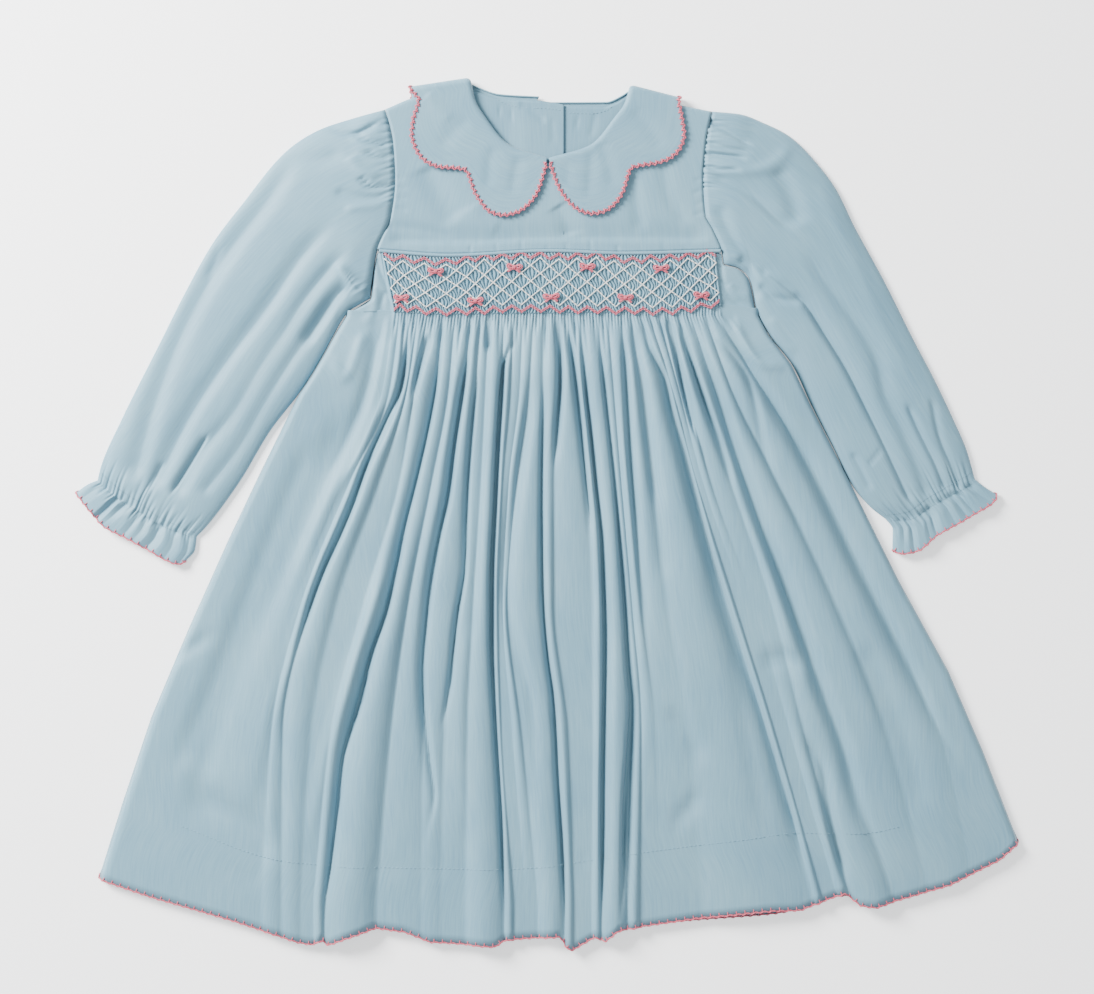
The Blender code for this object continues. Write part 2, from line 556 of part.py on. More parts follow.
def collar(name, spec, material):
    # from the centre front over the shoulder to the centre back, turned down at the neck edge
    rows = []
    for share in np.linspace(0.0, 1.0, 18):
        rows.append((curve(spec["neck"], share), curve(spec["edge"], share), 0.0))
    for degrees in (36, 72, 108, 144):
        rows.append((rows[-1][0], rows[-1][1], math.radians(degrees)))
    for share in np.linspace(0.0, 1.0, 10):
        rows.append((curve(spec["back_neck"], share), curve(spec["back_edge"], share), math.pi))
    middle = COLLAR_TOP / 2
    out = np.array(spec["out"])
    roll = np.array([0.0, 0.13, 0.45, 1.0])
    rest = np.array([0.35, 0.68, 1.0])
    faces = []
    for inset, full in ((0.0, middle), (WALL_COLLAR, middle - WALL_COLLAR)):
        face = []
        for neck, edge, turn in rows:
            length = np.linalg.norm(edge - neck)
            radius = min(NECK_ROLL, 0.6 * length)
            along = np.r_[inset + (radius - inset) * roll, radius + (length - radius) * rest]
            stand = np.full(len(along), full)
            stand[:4] = NECK_EDGE + (full - NECK_EDGE) * np.sqrt(1.0 - (1.0 - roll) ** 2)
            flat = neck + (edge - neck) * (along / length)[:, None]
            flat = flat + out * (stand * math.sin(turn))[:, None]
            face.append(raised(flat, middle + stand * math.cos(turn)))
        faces.append(face)
    return sheet(name, material, faces[0], faces[1])


def sleeve(name, spec, material):
    over = np.linspace(0.0, 1.0, SLEEVE_STEPS + 1)
    under = np.array([0.985, 0.92, 0.84, 0.78, 0.72, 0.65, 0.5, 0.35, 0.18, 0.08, 0.015])
    step = np.arange(SLEEVE_STEPS + 1)
    head_wave = np.array([-0.5, 0.2, 0.5, 0.2])[step % (SLEEVE_STEPS // HEAD_GATHERS)]
    cuff_wave = np.array([-0.5, 0.45, 0.35])[step % (SLEEVE_STEPS // CUFF_GATHERS)]
    calm = ease(np.minimum(over, 1.0 - over) / 0.1)
    round_side = np.sqrt(np.clip(1.0 - np.abs(2.0 * over - 1.0) ** 4, 0.0, 1.0))

    v = np.array([ring["at"] for ring in SLEEVE_RINGS])
    head = beside(curve(spec["armhole"], over), -spec["side"] * SEAM_GAP / 2)
    underarm = np.add(spec["under"], (spec["side"] * 0.1, 0.1))
    plan = patch(head, curve(spec["elastic"], over), curve(spec["outer"], v), underarm, over, v)
    v = np.array([ring["at"] for ring in RUFFLE_RINGS])
    cuff = patch(
        plan[-1], curve(spec["ruffle"], over), curve(spec["ruffle_outer"], v),
        curve(spec["ruffle_under"], v), over, v,
    )
    plan = np.concatenate([plan, cuff[1:]])

    outer, inner = [], []
    for ring, flat in zip(SLEEVE_RINGS + RUFFLE_RINGS[1:], plan):
        margin = WALL_SLEEVE / np.linalg.norm(flat[-1] - flat[0])
        fade = 1.0 - ease(np.linalg.norm(flat - plan[0], axis=-1) / 28.0)
        lift = fade * table_lift(flat[:, 1])
        folds = (ring["head"] * head_wave + ring["cuff"] * cuff_wave) * calm
        for face, inset, level, side_z in (
            (outer, 0.0, 0.0, 1.9), (inner, margin, WALL_SLEEVE, WALL_SLEEVE + 0.3),
        ):
            at_top = inset + (1.0 - 2.0 * inset) * over
            at_foot = inset + (1.0 - 2.0 * inset) * under
            top = np.stack([np.interp(at_top, over, flat[:, k]) for k in (0, 1)], axis=-1)
            foot = np.stack([np.interp(at_foot, over, flat[:, k]) for k in (0, 1)], axis=-1)
            low = side_z + lift
            full = ring["top"] - level + folds
            face.append(np.concatenate([
                raised(top, low + (full - low) * round_side),
                raised(foot, np.interp(at_foot, over, lift) + level),
            ]))
    body = Body()
    loops = []
    for face in (outer, inner):
        rows = [body.row(points) for points in face]
        loops.append([row + row[:1] for row in rows])
    for face in loops:
        for a, b in zip(face, face[1:]):
            body.strip(a, b)
    body.strip(loops[0][0], loops[1][0])
    body.strip(loops[0][-1], loops[1][-1])
    return body.finish(name, material)


def piping(material):
    line = curve(PIPING, np.linspace(0.004, 0.996, 21))
    way = np.gradient(line, axis=0)
    way /= np.linalg.norm(way, axis=1)[:, None]
    side = np.stack([-way[:, 1], way[:, 0]], axis=-1)
    body = Body()
    rings = []
    for centre, across in zip(line, side):
        ring = []
        for k in range(8):
            angle = math.radians(45.0 * k)
            flat = centre + across * PIPING_RADIUS * math.cos(angle)
            ring.append((flat[0], flat[1], PIPING_Z + PIPING_RADIUS * math.sin(angle)))
        row = body.row(ring)
        rings.append(row + row[:1])
    for a, b in zip(rings, rings[1:]):
        body.strip(a, b)
    body.faces.append(tuple(rings[0][:8]))
    body.faces.append(tuple(rings[-1][:8]))
    return body.finish("yoke_piping", material)


def button(name, y, material):
    body = Body()
    rings = []
    edge = 0.4
    for radius, z in (
        (BUTTON_RADIUS - edge, 0.0), (BUTTON_RADIUS, edge),
        (BUTTON_RADIUS, BUTTON_THICK - edge), (BUTTON_RADIUS - edge, BUTTON_THICK),
    ):
        turn = np.radians(np.arange(15) * 24.0)
        ring = np.stack([BUTTON_X + radius * np.cos(turn), y + radius * np.sin(turn)], axis=-1)
        row = body.row(raised(ring, z))
        rings.append(row + row[:1])
    for a, b in zip(rings, rings[1:]):
        body.strip(a, b)
    body.faces.append(tuple(rings[0][:-1]))
    body.faces.append(tuple(rings[-1][:-1]))
    return body.finish(name, material)


for leftover in list(bpy.data.objects):
    bpy.data.objects.remove(leftover)

cotton = (0.45, 0.66, 0.72)
front_skirt(look("front skirt cotton", cotton, 0.6))
back_skirt(look("back skirt cotton", cotton, 0.6))
front_yoke(look("front yoke cotton", cotton, 0.6))
back_yokes(look("back yoke cotton", cotton, 0.6))
collar("collar_right", COLLAR_LEFT, look("right collar cotton", cotton, 0.6))
collar("collar_left", COLLAR_RIGHT, look("left collar cotton", cotton, 0.6))
sleeve("sleeve_right", SLEEVE_LEFT, look("right sleeve cotton", cotton, 0.6))
sleeve("sleeve_left", SLEEVE_RIGHT, look("left sleeve cotton", cotton, 0.6))
piping(look("piping cotton", (0.40, 0.62, 0.70), 0.55))
for number, row_y in enumerate(BUTTON_ROWS, 1):
    button(f"button_{number}", row_y, look("button " + str(number), (0.86, 0.88, 0.88), 0.3))
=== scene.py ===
import math

import bmesh
import bpy
import numpy as np
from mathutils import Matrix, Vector


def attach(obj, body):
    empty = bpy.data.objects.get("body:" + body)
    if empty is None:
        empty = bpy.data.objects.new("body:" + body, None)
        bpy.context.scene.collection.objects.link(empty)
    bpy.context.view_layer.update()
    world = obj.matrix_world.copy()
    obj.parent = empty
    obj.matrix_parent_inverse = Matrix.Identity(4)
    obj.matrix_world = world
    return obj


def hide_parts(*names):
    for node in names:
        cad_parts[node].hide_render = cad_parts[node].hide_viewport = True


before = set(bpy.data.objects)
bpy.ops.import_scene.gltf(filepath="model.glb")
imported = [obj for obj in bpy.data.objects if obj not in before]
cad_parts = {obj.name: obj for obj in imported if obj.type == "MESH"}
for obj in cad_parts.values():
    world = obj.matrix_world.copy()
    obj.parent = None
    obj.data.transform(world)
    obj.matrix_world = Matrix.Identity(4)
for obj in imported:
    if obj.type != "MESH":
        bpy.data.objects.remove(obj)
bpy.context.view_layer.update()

# Child's smocked dress laid flat. All layouts are in millimetres on the table, x right, y up, z off it.
# Folds and stitches are laid out on a squared grid over the dress, 0.65 mm a square, from its top left.


mm = 0.001
gridStep = 0.65
gridMiddle = (547.5, 512.5)
walls = {"front": 0.6, "back": 0.7, "collar": 0.8, "band": 0.5, "piping": 0.4}
partShift = (0.25, 0.98, 0.0)       # from these layouts to the part's own middle


def fromGrid(points):
    points = np.asarray(points, float)
    x = (points[..., 0] - gridMiddle[0]) * gridStep
    y = (gridMiddle[1] - points[..., 1]) * gridStep
    return np.stack([x, y], axis=-1)


def toPart(points):
    return (np.asarray(points, float) + partShift) * mm


def ease(value):
    value = np.clip(value, 0.0, 1.0)
    return value * value * (3.0 - 2.0 * value)


def soft(levels, values, at):
    # smooth run through a table's values that never goes past them
    x = np.asarray(levels, float)
    y = np.asarray(values, float)
    step = np.diff(x)
    slope = np.diff(y) / step
    lean = np.zeros(len(x))
    lean[0], lean[-1] = slope[0], slope[-1]
    for k in range(1, len(x) - 1):
        if slope[k - 1] * slope[k] > 0.0:
            lean[k] = 2.0 * slope[k - 1] * slope[k] / (slope[k - 1] + slope[k])
    at = np.clip(np.asarray(at, float), x[0], x[-1])
    k = np.clip(np.searchsorted(x, at, side="right") - 1, 0, len(x) - 2)
    t = (at - x[k]) / step[k]
    return (
        y[k] * (1 + 2 * t) * (1 - t) ** 2 + lean[k] * step[k] * t * (1 - t) ** 2
        + y[k + 1] * t * t * (3 - 2 * t) + lean[k + 1] * step[k] * t * t * (t - 1)
    )


def curve(points, at):
    # places on a soft line through the points, by fraction of its length
    points = np.asarray(points, float)
    length = np.r_[0.0, np.cumsum(np.linalg.norm(np.diff(points, axis=0), axis=1))]
    at = np.asarray(at, float) * length[-1]
    return np.stack([soft(length, points[:, k], at) for k in range(points.shape[1])], axis=-1)


def levelAt(points, x):
    points = np.asarray(points, float)
    return np.interp(x, points[:, 0], points[:, 1])


def acrossAt(points, y):
    # x of a side that runs downwards, at the given y
    points = np.asarray(points, float)
    return soft(-points[:, 1], points[:, 0], -np.asarray(y, float))


def rounded(share):
    # height of a quarter-round edge at this share of its width
    return np.sqrt(np.clip(1.0 - (1.0 - np.clip(share, 0.0, 1.0)) ** 2, 0.0, 1.0))


def beside(line, gap):
    way = np.gradient(line, axis=0)
    way /= np.linalg.norm(way, axis=1)[:, None]
    return line + gap * np.stack([way[:, 1], -way[:, 0]], axis=-1)


def patch(top, bottom, left, right, u, v):
    # fills the space between four edges, row by row from the top
    top, bottom, left, right = (np.array(edge) for edge in (top, bottom, left, right))
    top[0], top[-1], bottom[0], bottom[-1] = left[0], right[0], left[-1], right[-1]
    u = np.asarray(u, float)[None, :, None]
    v = np.asarray(v, float)[:, None, None]
    corners = (
        (1 - u) * (1 - v) * top[0] + u * (1 - v) * top[-1]
        + (1 - u) * v * bottom[0] + u * v * bottom[-1]
    )
    return (1 - v) * top + v * bottom + (1 - u) * left[:, None] + u * right[:, None] - corners


def raised(flat, z):
    return np.concatenate([flat, np.broadcast_to(z, flat.shape[:-1])[..., None]], axis=-1)


def crease(path, deep, left, right, sharp=0.6, slit=0.0, fade=0.12, fadeEnd=0.2):
    # a crease: its path on the grid, its depth in mm, and its reach in mm to the left and the
    # right of the way it runs; sharp mixes a keen bottom with a round one, and slit adds a narrow cut
    return {
        "path": path, "deep": deep, "left": left, "right": right,
        "sharp": sharp, "slit": slit, "fade": fade, "fadeEnd": fadeEnd,
    }


slitReach = 2.0
farAway = 1e9


def creases(flat, table):
    # height that the creases give to the cloth
    rise = np.zeros(flat.shape[:-1])
    for row in table:
        knots = fromGrid(row["path"])
        count = max(10, 3 * len(knots))
        path = curve(knots, np.linspace(0.0, 1.0, count))
        deep = row["deep"]
        deep = np.broadcast_to(deep, (len(knots),)) if np.ndim(deep) == 0 else np.array(deep, float)
        length = np.r_[0.0, np.cumsum(np.linalg.norm(np.diff(knots, axis=0), axis=1))]
        depth = np.interp(np.linspace(0.0, 1.0, count), length / length[-1], deep)
        nearest = np.full(flat.shape[:-1], farAway)
        offset = np.zeros(flat.shape[:-1])
        here = np.zeros(flat.shape[:-1])
        along = np.zeros(flat.shape[:-1])
        for k, (a, b) in enumerate(zip(path, path[1:])):
            way = b - a
            t = np.clip(((flat - a) @ way) / (way @ way), 0.0, 1.0)
            away = flat - a - t[..., None] * way
            far = np.linalg.norm(away, axis=-1)
            side = np.sign(way[0] * away[..., 1] - way[1] * away[..., 0])
            closer = far < nearest
            nearest = np.where(closer, far, nearest)
            offset = np.where(closer, side * far, offset)
            here = np.where(closer, depth[k] + t * (depth[k + 1] - depth[k]), here)
            along = np.where(closer, (k + t) / (count - 1), along)
        reach = np.where(offset > 0.0, offset / row["left"], -offset / row["right"])
        roundBed = np.exp(-3.0 * reach * reach)
        keenBed = np.clip(1.0 - reach, 0.0, 1.0) ** 2
        ends = ease(along / row["fade"]) * ease((1.0 - along) / row["fadeEnd"])
        slit = row["slit"] * np.clip(1.0 - nearest / slitReach, 0.0, 1.0) ** 1.3
        rise += here * ends * (row["sharp"] * keenBed + (1.0 - row["sharp"]) * roundBed + slit)
    return rise


def arcLayout(points):
    # the cut's own measures in metres: across along each row, and down each column
    across = np.linalg.norm(np.diff(points, axis=1), axis=-1)
    down = np.linalg.norm(np.diff(points, axis=0), axis=-1)
    u = np.concatenate([np.zeros((points.shape[0], 1)), np.cumsum(across, axis=1)], axis=1)
    u -= u[:, points.shape[1] // 2][:, None]
    v = np.concatenate([np.zeros((1, points.shape[1])), np.cumsum(down, axis=0)], axis=0)
    return np.stack([u, -v], axis=-1) * mm


def addObject(name, data):
    made = bpy.data.objects.new(name, data)
    bpy.context.scene.collection.objects.link(made)
    return made


def clothPiece(name, points, wall, material, node, closed=False, above=3.0 * mm):
    # a grid of cloth laid on the given points, first row at the top, with a thin wall below it
    points = points[::-1]
    rows, columns = points.shape[:2]
    shape = bmesh.new()
    bmesh.ops.create_grid(shape, x_segments=columns - 1, y_segments=rows - 1, size=1.0)
    mesh = bpy.data.meshes.new(name)
    shape.to_mesh(mesh)
    shape.free()
    if len(mesh.vertices) != rows * columns:
        raise ValueError(f"{name}: the grid has {len(mesh.vertices)} points and not {rows * columns}")
    mesh.vertices.foreach_set("co", toPart(points).astype(np.float32).ravel())
    layer = mesh.uv_layers.new(name="cut")
    corner = np.zeros(len(mesh.loops), np.int32)
    mesh.loops.foreach_get("vertex_index", corner)
    layout = arcLayout(points).reshape(-1, 2)
    layer.data.foreach_set("uv", layout[corner].astype(np.float32).ravel())
    shape = bmesh.new()
    shape.from_mesh(mesh)
    if closed:
        bmesh.ops.remove_doubles(shape, verts=shape.verts[:], dist=1e-6)
    upper = [face for face in shape.faces if face.calc_center_median().z > above]
    if sum(face.normal.z * face.calc_area() for face in upper) < 0.0:
        bmesh.ops.reverse_faces(shape, faces=shape.faces[:])
    for face in shape.faces:
        face.smooth = True
    shape.to_mesh(mesh)
    shape.free()
    piece = addObject(name, mesh)
    mesh.materials.append(material)
    thickness = piece.modifiers.new("clothWall", "SOLIDIFY")
    thickness.thickness = wall * mm
    thickness.offset = -1.0
    return dress(piece, node)


def dress(piece, node):
    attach(piece, "root")
    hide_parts(node)
    return piece


# Materials

def newMaterial(name, values):
    material = bpy.data.materials.new(name)
    material.use_nodes = True
    shader = material.node_tree.nodes["Principled BSDF"]
    for key, value in values.items():
        shader.inputs[key].default_value = value
    return material, material.node_tree, shader


def addNode(tree, kind, values=None, wires=None):
    # a node with the values of its inputs and the outputs that feed them
    made = tree.nodes.new("ShaderNode" + kind)
    for key, value in (values or {}).items():
        made.inputs[key].default_value = value
    for key, source in (wires or {}).items():
        tree.links.new(source, made.inputs[key])
    return made


def addRamp(tree, source, stops):
    # colours by place; the two ends come first, then what lies between them
    ramp = addNode(tree, "ValToRGB", wires={"Fac": source})
    elements = ramp.color_ramp.elements
    for k, (place, colour) in enumerate(stops):
        stop = elements[k] if k < 2 else elements.new(place)
        stop.position = place
        stop.color = (*colour, 1.0)
    return ramp.outputs["Color"]


cottonLook = {
    "base": (0.142, 0.278, 0.352), "deep": (0.112, 0.238, 0.318), "pale": (0.176, 0.315, 0.382),
    "roughness": 0.52, "sheen": 0.22, "threadPitch": 0.00042, "weave": 0.25,
}


def cottonMaterial(name, look):
    material, tree, shader = newMaterial(name, {
        "Roughness": look["roughness"], "Specular IOR Level": 0.35,
        "Sheen Weight": look["sheen"], "Sheen Roughness": 0.45,
    })
    cut = addNode(tree, "UVMap")
    cut.uv_map = "cut"
    place = {"Vector": cut.outputs["UV"]}
    warp = addNode(tree, "Mapping", {"Scale": (900.0, 45.0, 1.0)}, place)       # long streaks along the warp
    along = {"Vector": warp.outputs["Vector"]}
    streak = addNode(tree, "TexNoise", {"Scale": 1.0, "Detail": 3.0}, along).outputs["Fac"]
    cloud = addNode(tree, "TexNoise", {"Scale": 14.0, "Detail": 2.0}, place).outputs["Fac"]     # uneven dye
    mixed = addNode(tree, "Mix", {0: 0.45}, {2: streak, 3: cloud})
    mixed.data_type = "FLOAT"
    dye = addRamp(tree, mixed.outputs[0], ((0.30, look["deep"]), (0.70, look["pale"]), (0.5, look["base"])))
    tree.links.new(dye, shader.inputs["Base Color"])
    weft = []
    for direction in ("X", "Y"):
        scale = math.pi / (10.0 * look["threadPitch"])
        wave = addNode(tree, "TexWave", {"Scale": scale, "Distortion": 0.6}, place)
        wave.bands_direction = direction
        weft.append(wave.outputs["Fac"])
    weave = addNode(tree, "Math", wires={0: weft[0], 1: weft[1]})
    weave.operation = "MULTIPLY"
    slub = addNode(tree, "Math", wires={0: weave.outputs[0], 1: streak})
    slub.operation = "ADD"
    bump = addNode(tree, "Bump", {"Strength": look["weave"], "Distance": 0.0002}, {"Height": slub.outputs[0]})
    tree.links.new(bump.outputs["Normal"], shader.inputs["Normal"])
    return material


cotton = cottonMaterial("paleBlueCotton", cottonLook)
# a darker copy of the cotton for the back yokes, whose inside shows in the neck opening; its darker colours
# are painted shade where the yokes lie low under the collar
backYokeShadeLook = {
    **cottonLook,
    "base": (0.130, 0.255, 0.325), "deep": (0.104, 0.222, 0.300), "pale": (0.158, 0.288, 0.352),
}
cottonBackYokeShade = cottonMaterial("paleBlueCottonBackYokeShade", backYokeShadeLook)

# Outlines shared by the pieces, in millimetres

pipingLine = ((-110.3, 170.0), (-63.7, 167.0), (1.0, 170.0), (49.5, 168.4), (113.6, 170.0))
armholeLeft = (
    (-105.5, 262.5), (-100.5, 242.0), (-99.0, 216.0), (-101.5, 193.5),
    (-111.0, 170.0), (-114.0, 151.0), (-115.5, 139.5),
)
armholeRight = (
    (106.9, 261.0), (103.0, 242.0), (101.0, 216.0), (102.5, 193.5),
    (107.5, 183.5), (113.4, 169.5), (114.6, 161.5),
)
shoulderLeft = ((-105.5, 262.5), (-88.0, 269.8), (-54.8, 278.0))
shoulderRight = ((54.8, 273.2), (86.0, 265.3), (106.9, 261.0))
neckLeft = ((-49.5, 279.2), (-47.0, 268.5), (-40.6, 257.5), (-24.4, 239.0), (-0.3, 230.6))
neckRight = ((0.9, 230.6), (27.6, 239.0), (43.9, 257.5), (50.0, 266.0), (52.7, 274.6))
frontHem = (
    (-292.8, -238.2), (-258.4, -249.9), (-206.4, -264.9), (-160.9, -279.8), (-153.1, -281.1),
    (-146.6, -277.9), (-142.7, -281.1), (-131.6, -276.6), (-112.1, -270.1), (-92.6, -272.7),
    (-76.4, -279.2), (-34.1, -281.8), (-27.6, -277.9), (8.1, -275.3), (12.7, -283.1),
    (16.6, -284.4), (30.9, -275.9), (37.4, -278.5), (45.8, -271.4), (99.1, -263.6),
    (144.6, -258.4), (164.1, -258.4), (193.4, -247.3), (203.1, -255.1), (212.9, -256.4),
    (261.6, -242.1), (294.1, -225.9), (307.1, -214.4),
)
backHem = (
    (-292.8, -237.4), (-258.4, -248.0), (-206.4, -262.3), (-160.9, -268.8), (-112.1, -268.1),
    (-76.4, -272.7), (-30.9, -274.0), (8.1, -272.7), (47.1, -270.1), (99.1, -265.5),
    (151.1, -261.3), (193.4, -249.9), (229.1, -249.3), (261.6, -240.2), (294.1, -224.6),
    (307.1, -213.6),
)
bandFoot = ((-100.4, 130.4), (-70.0, 128.8), (0.0, 129.6), (70.0, 130.8), (113.2, 134.6))
seamLeft = (
    (-111.0, 168.6), (-112.6, 161.0), (-114.2, 150.0), (-115.5, 139.5), (-130.3, 130.3),
    (-139.4, 115.4), (-145.3, 104.3), (-154.4, 88.7), (-162.8, 76.4), (-186.9, 27.6),
    (-208.5, -18.0), (-234.0, -75.0), (-258.5, -133.0), (-277.5, -189.5), (-292.8, -238.2),
)
seamRight = (
    (113.3, 168.6), (114.6, 161.5), (124.0, 159.0), (131.2, 152.5), (136.2, 131.6),
    (144.6, 115.4), (152.1, 105.7), (159.6, 95.9), (171.9, 69.9), (186.9, 40.6),
    (198.6, 17.6), (229.1, -43.9), (261.5, -103.0), (284.0, -155.0), (307.1, -214.4),
)


sideCreases = (
    crease(((377, 256), (381, 272), (388, 288), (391, 303)), -0.9, 3, 4, sharp=0.4),
    crease(((385, 290), (381, 308), (379, 330)), -0.9, 3, 4, sharp=0.4),
    crease(((373, 284), (375, 304), (364, 326)), 0.8, 5, 5, sharp=0.2),
    crease(((720, 250), (721, 266), (723, 283), (727, 292), (737, 301), (754, 311)), -1.0, 3, 4, sharp=0.4),
    crease(((732, 266), (742, 267), (749, 273)), -0.8, 3, 3, sharp=0.4),
    crease(((728, 284), (738, 295), (753, 297)), 0.7, 4, 4, sharp=0.2),
    crease(((717, 305), (730, 315), (740, 330)), -1.0, 3, 4, sharp=0.4),
    crease(((722, 300), (731, 302), (741, 306)), -0.6, 2, 3, sharp=0.4),
)


def pipingLevel(x):
    return soft([p[0] for p in pipingLine], [p[1] for p in pipingLine], x)


levels = {
    "hem": 1.5, "rise": 3.5, "riseFrom": 30.0, "riseRun": 98.0,
    "lift": 2.2, "liftFrom": 148.0, "liftRun": 20.0,
}


def restLevel(y):
    # underside of the front skirt: on the back at the hem, on the smocking's level at the top
    return levels["hem"] + levels["rise"] * ease((y - levels["riseFrom"]) / levels["riseRun"])


def tableLift(y):
    # the back skirt and the sleeve heads leave the table below the yoke, where the buttons lie
    return levels["lift"] * ease((y - levels["liftFrom"]) / levels["liftRun"])


# Back skirt

def buildBackSkirt():
    u = np.linspace(0.0, 1.0, 81)
    v = np.linspace(0.0, 1.0, 61)
    down = np.linspace(0.0, 1.0, len(seamLeft))
    sides = []
    for seam, inset in ((seamLeft, 0.3), (seamRight, -0.3)):
        side = [np.interp(v, down, [p[k] for p in seam]) for k in (0, 1)]
        sides.append(np.stack(side, axis=-1) + (inset, -0.25))
    left, right = sides
    left[-1], right[-1] = backHem[0], backHem[-1]
    flat = patch(curve(pipingLine, u) - (0.0, 0.3), curve(backHem, u), left, right, u, v)
    z = tableLift(flat[..., 1]) + 0.75
    piece = clothPiece("backSkirtPanel", raised(flat, z), walls["back"], cotton, "back_skirt")
    return raised(flat, z)


backSkirtGrid = buildBackSkirt()
print("back skirt done")

# Yokes

def yokePlan(top, left, right, gap, v):
    u = (top[:, 0] - top[0, 0]) / (top[-1, 0] - top[0, 0])
    sides = []
    for end, side in ((0, left), (-1, right)):
        foot = pipingLevel(side(170.0)) + gap
        y = top[end, 1] + v * (foot - top[end, 1])
        sides.append(np.stack([side(y) + 0.0 * y, y], axis=-1))
    bottomX = sides[0][-1, 0] + u * (sides[1][-1, 0] - sides[0][-1, 0])
    bottom = np.stack([bottomX, pipingLevel(bottomX) + gap], axis=-1)
    return patch(top, bottom, sides[0], sides[1], u, v)


yokeLook = {
    "level": 6.5, "low": 3.7, "neckSetBack": 3.4, "rollRadius": 2.6, "height": 92.0,
    "creases": (
        crease(((385, 240), (470, 240), (540, 237), (600, 237), (712, 238)), -1.5, 13, 4, sharp=0.1,
               fade=0.05, fadeEnd=0.05),
        crease(((425, 165), (440, 198), (458, 224)), -1.5, 16, 15, sharp=0.1),
        crease(((470, 205), (480, 220), (500, 230)), 0.6, 12, 12, sharp=0.1),
        crease(((556, 205), (566, 222), (570, 238)), -1.3, 13, 10, sharp=0.2),
        crease(((632, 170), (636, 200), (642, 234)), -1.1, 8, 9, sharp=0.2),
        crease(((662, 160), (668, 195), (690, 228)), -0.8, 9, 8, sharp=0.2),
        crease(((382, 226), (420, 229), (455, 238)), -0.7, 7, 5, sharp=0.2),
    ),
    "baseTucks": (402, 428, 452, 470, 496, 521, 547, 566, 590, 617, 640, 664, 686),
    "sideTucks": (
        (396, 176), (397, 186), (398, 196), (397, 207), (702, 178), (703, 190), (704, 201), (704, 212),
    ),
}


# how a turned edge rounds over: shares of its width
edgeRoll = np.array([0.0, 0.04, 0.13, 0.27, 0.45, 0.7, 1.0])


def yokeTucks():
    # short tucks above the piping and along the armholes
    tucks = []
    for k, x in enumerate(yokeLook["baseTucks"]):
        long = 7 + 3 * (k % 3)
        tucks.append(crease(((x, 252 - long), (x + 1, 253)), -0.30 - 0.1 * (k % 2), 1.8, 2.2, sharp=0.4))
    for k, (x, y) in enumerate(yokeLook["sideTucks"]):
        way = 1 if x < gridMiddle[0] else -1
        end = (x + way * (8 + 3 * (k % 2)), y + 4)
        tucks.append(crease(((x, y), end), -0.5, 1.6, 2.0, sharp=0.4))
    return tucks


def buildFrontYoke():
    neck = beside(curve(neckLeft + neckRight, np.linspace(0.03, 0.97, 111)), yokeLook["neckSetBack"])
    ends = np.linspace(0.0, 1.0, 28)
    top = np.concatenate([curve(shoulderLeft, ends), neck, curve(shoulderRight, ends)])
    turn = np.r_[np.ones(27), 0.8, np.zeros(111), 0.8, np.ones(27)]
    v = np.r_[edgeRoll * yokeLook["rollRadius"] / yokeLook["height"], np.linspace(0.05, 1.0, 70)]
    left, right = (lambda y: acrossAt(armholeLeft, y) + 0.1), (lambda y: acrossAt(armholeRight, y) - 0.1)
    flat = yokePlan(top, left, right, 1.2, v)
    roundOff = np.ones(len(v))
    roundOff[:len(edgeRoll)] = rounded(edgeRoll)
    low = (yokeLook["low"] + (1.0 - turn) * 2.7)[None, :]
    z = low + (yokeLook["level"] - low) * roundOff[:, None]
    z = z + creases(flat, yokeLook["creases"]) + creases(flat, yokeTucks())
    piece = clothPiece("frontYokePanel", raised(flat, z), walls["front"], cotton, "front_yoke")


backYokeLook = {
    "level": 3.4, "lap": 4.5, "lapLeft": -11.4, "lapRight": 10.7, "lapRun": 17.0,
    "creases": (
        crease(((519, 102), (531, 109), (547, 122)), -0.9, 3, 4, sharp=0.5),
        crease(((500, 104), (499, 116)), -0.4, 2, 2, sharp=0.4),
        crease(((511, 108), (512, 122)), -0.4, 2, 3, sharp=0.4),
        crease(((552, 118), (553, 145)), -0.3, 4, 4, sharp=0.2),
        crease(((578, 114), (576, 130)), -0.4, 3, 3, sharp=0.4),
        crease(((596, 112), (590, 138)), -0.4, 4, 4, sharp=0.3),
    ),
}
backNeckLeft = ((-53.5, 277.6), (-45.2, 273.6), (-30.9, 269.4), (-4.2, 268.0), (10.7, 265.4))
backNeckRight = ((-11.4, 264.6), (11.4, 264.7), (38.0, 264.2), (48.4, 268.5), (54.0, 273.0))


def buildBackYokes():
    look = backYokeLook
    v = np.linspace(0.0, 1.0, 50)
    shoulder = np.linspace(0.0, 1.0, 16)
    across = np.linspace(-45.0, look["lapRight"], 70)
    neck = np.stack([across, levelAt(backNeckLeft, across)], axis=-1)
    top = np.concatenate([curve(shoulderLeft, shoulder), neck])
    flat = yokePlan(top, lambda y: acrossAt(armholeLeft, y) + 0.3, lambda y: look["lapRight"], 0.3, v)
    lap = ease((flat[..., 0] - (look["lapLeft"] - look["lapRun"])) / (look["lapRun"] - 1.0))
    z = look["level"] + (look["lap"] - look["level"]) * lap + creases(flat, look["creases"][:4])
    rightGrid = raised(flat, z)
    # both back yoke halves take the darker cotton, painted shade for their low place under the collar
    rightHalf = clothPiece("backYokeRightPanel", rightGrid, walls["back"], cottonBackYokeShade, "back_yoke_right")
    across = np.linspace(look["lapLeft"], 46.0, 70)
    neck = np.stack([across, levelAt(backNeckRight, across)], axis=-1)
    top = np.concatenate([neck, curve(shoulderRight, shoulder)])
    flat = yokePlan(top, lambda y: look["lapLeft"], lambda y: acrossAt(armholeRight, y) - 0.3, 0.3, v)
    leftGrid = raised(flat, look["level"] + creases(flat, look["creases"][4:]))
    leftHalf = clothPiece("backYokeLeftPanel", leftGrid, walls["back"], cottonBackYokeShade, "back_yoke_left")
    return rightGrid, leftGrid


backYokeGrids = buildBackYokes()
buildFrontYoke()
print("yokes done")

# Collar

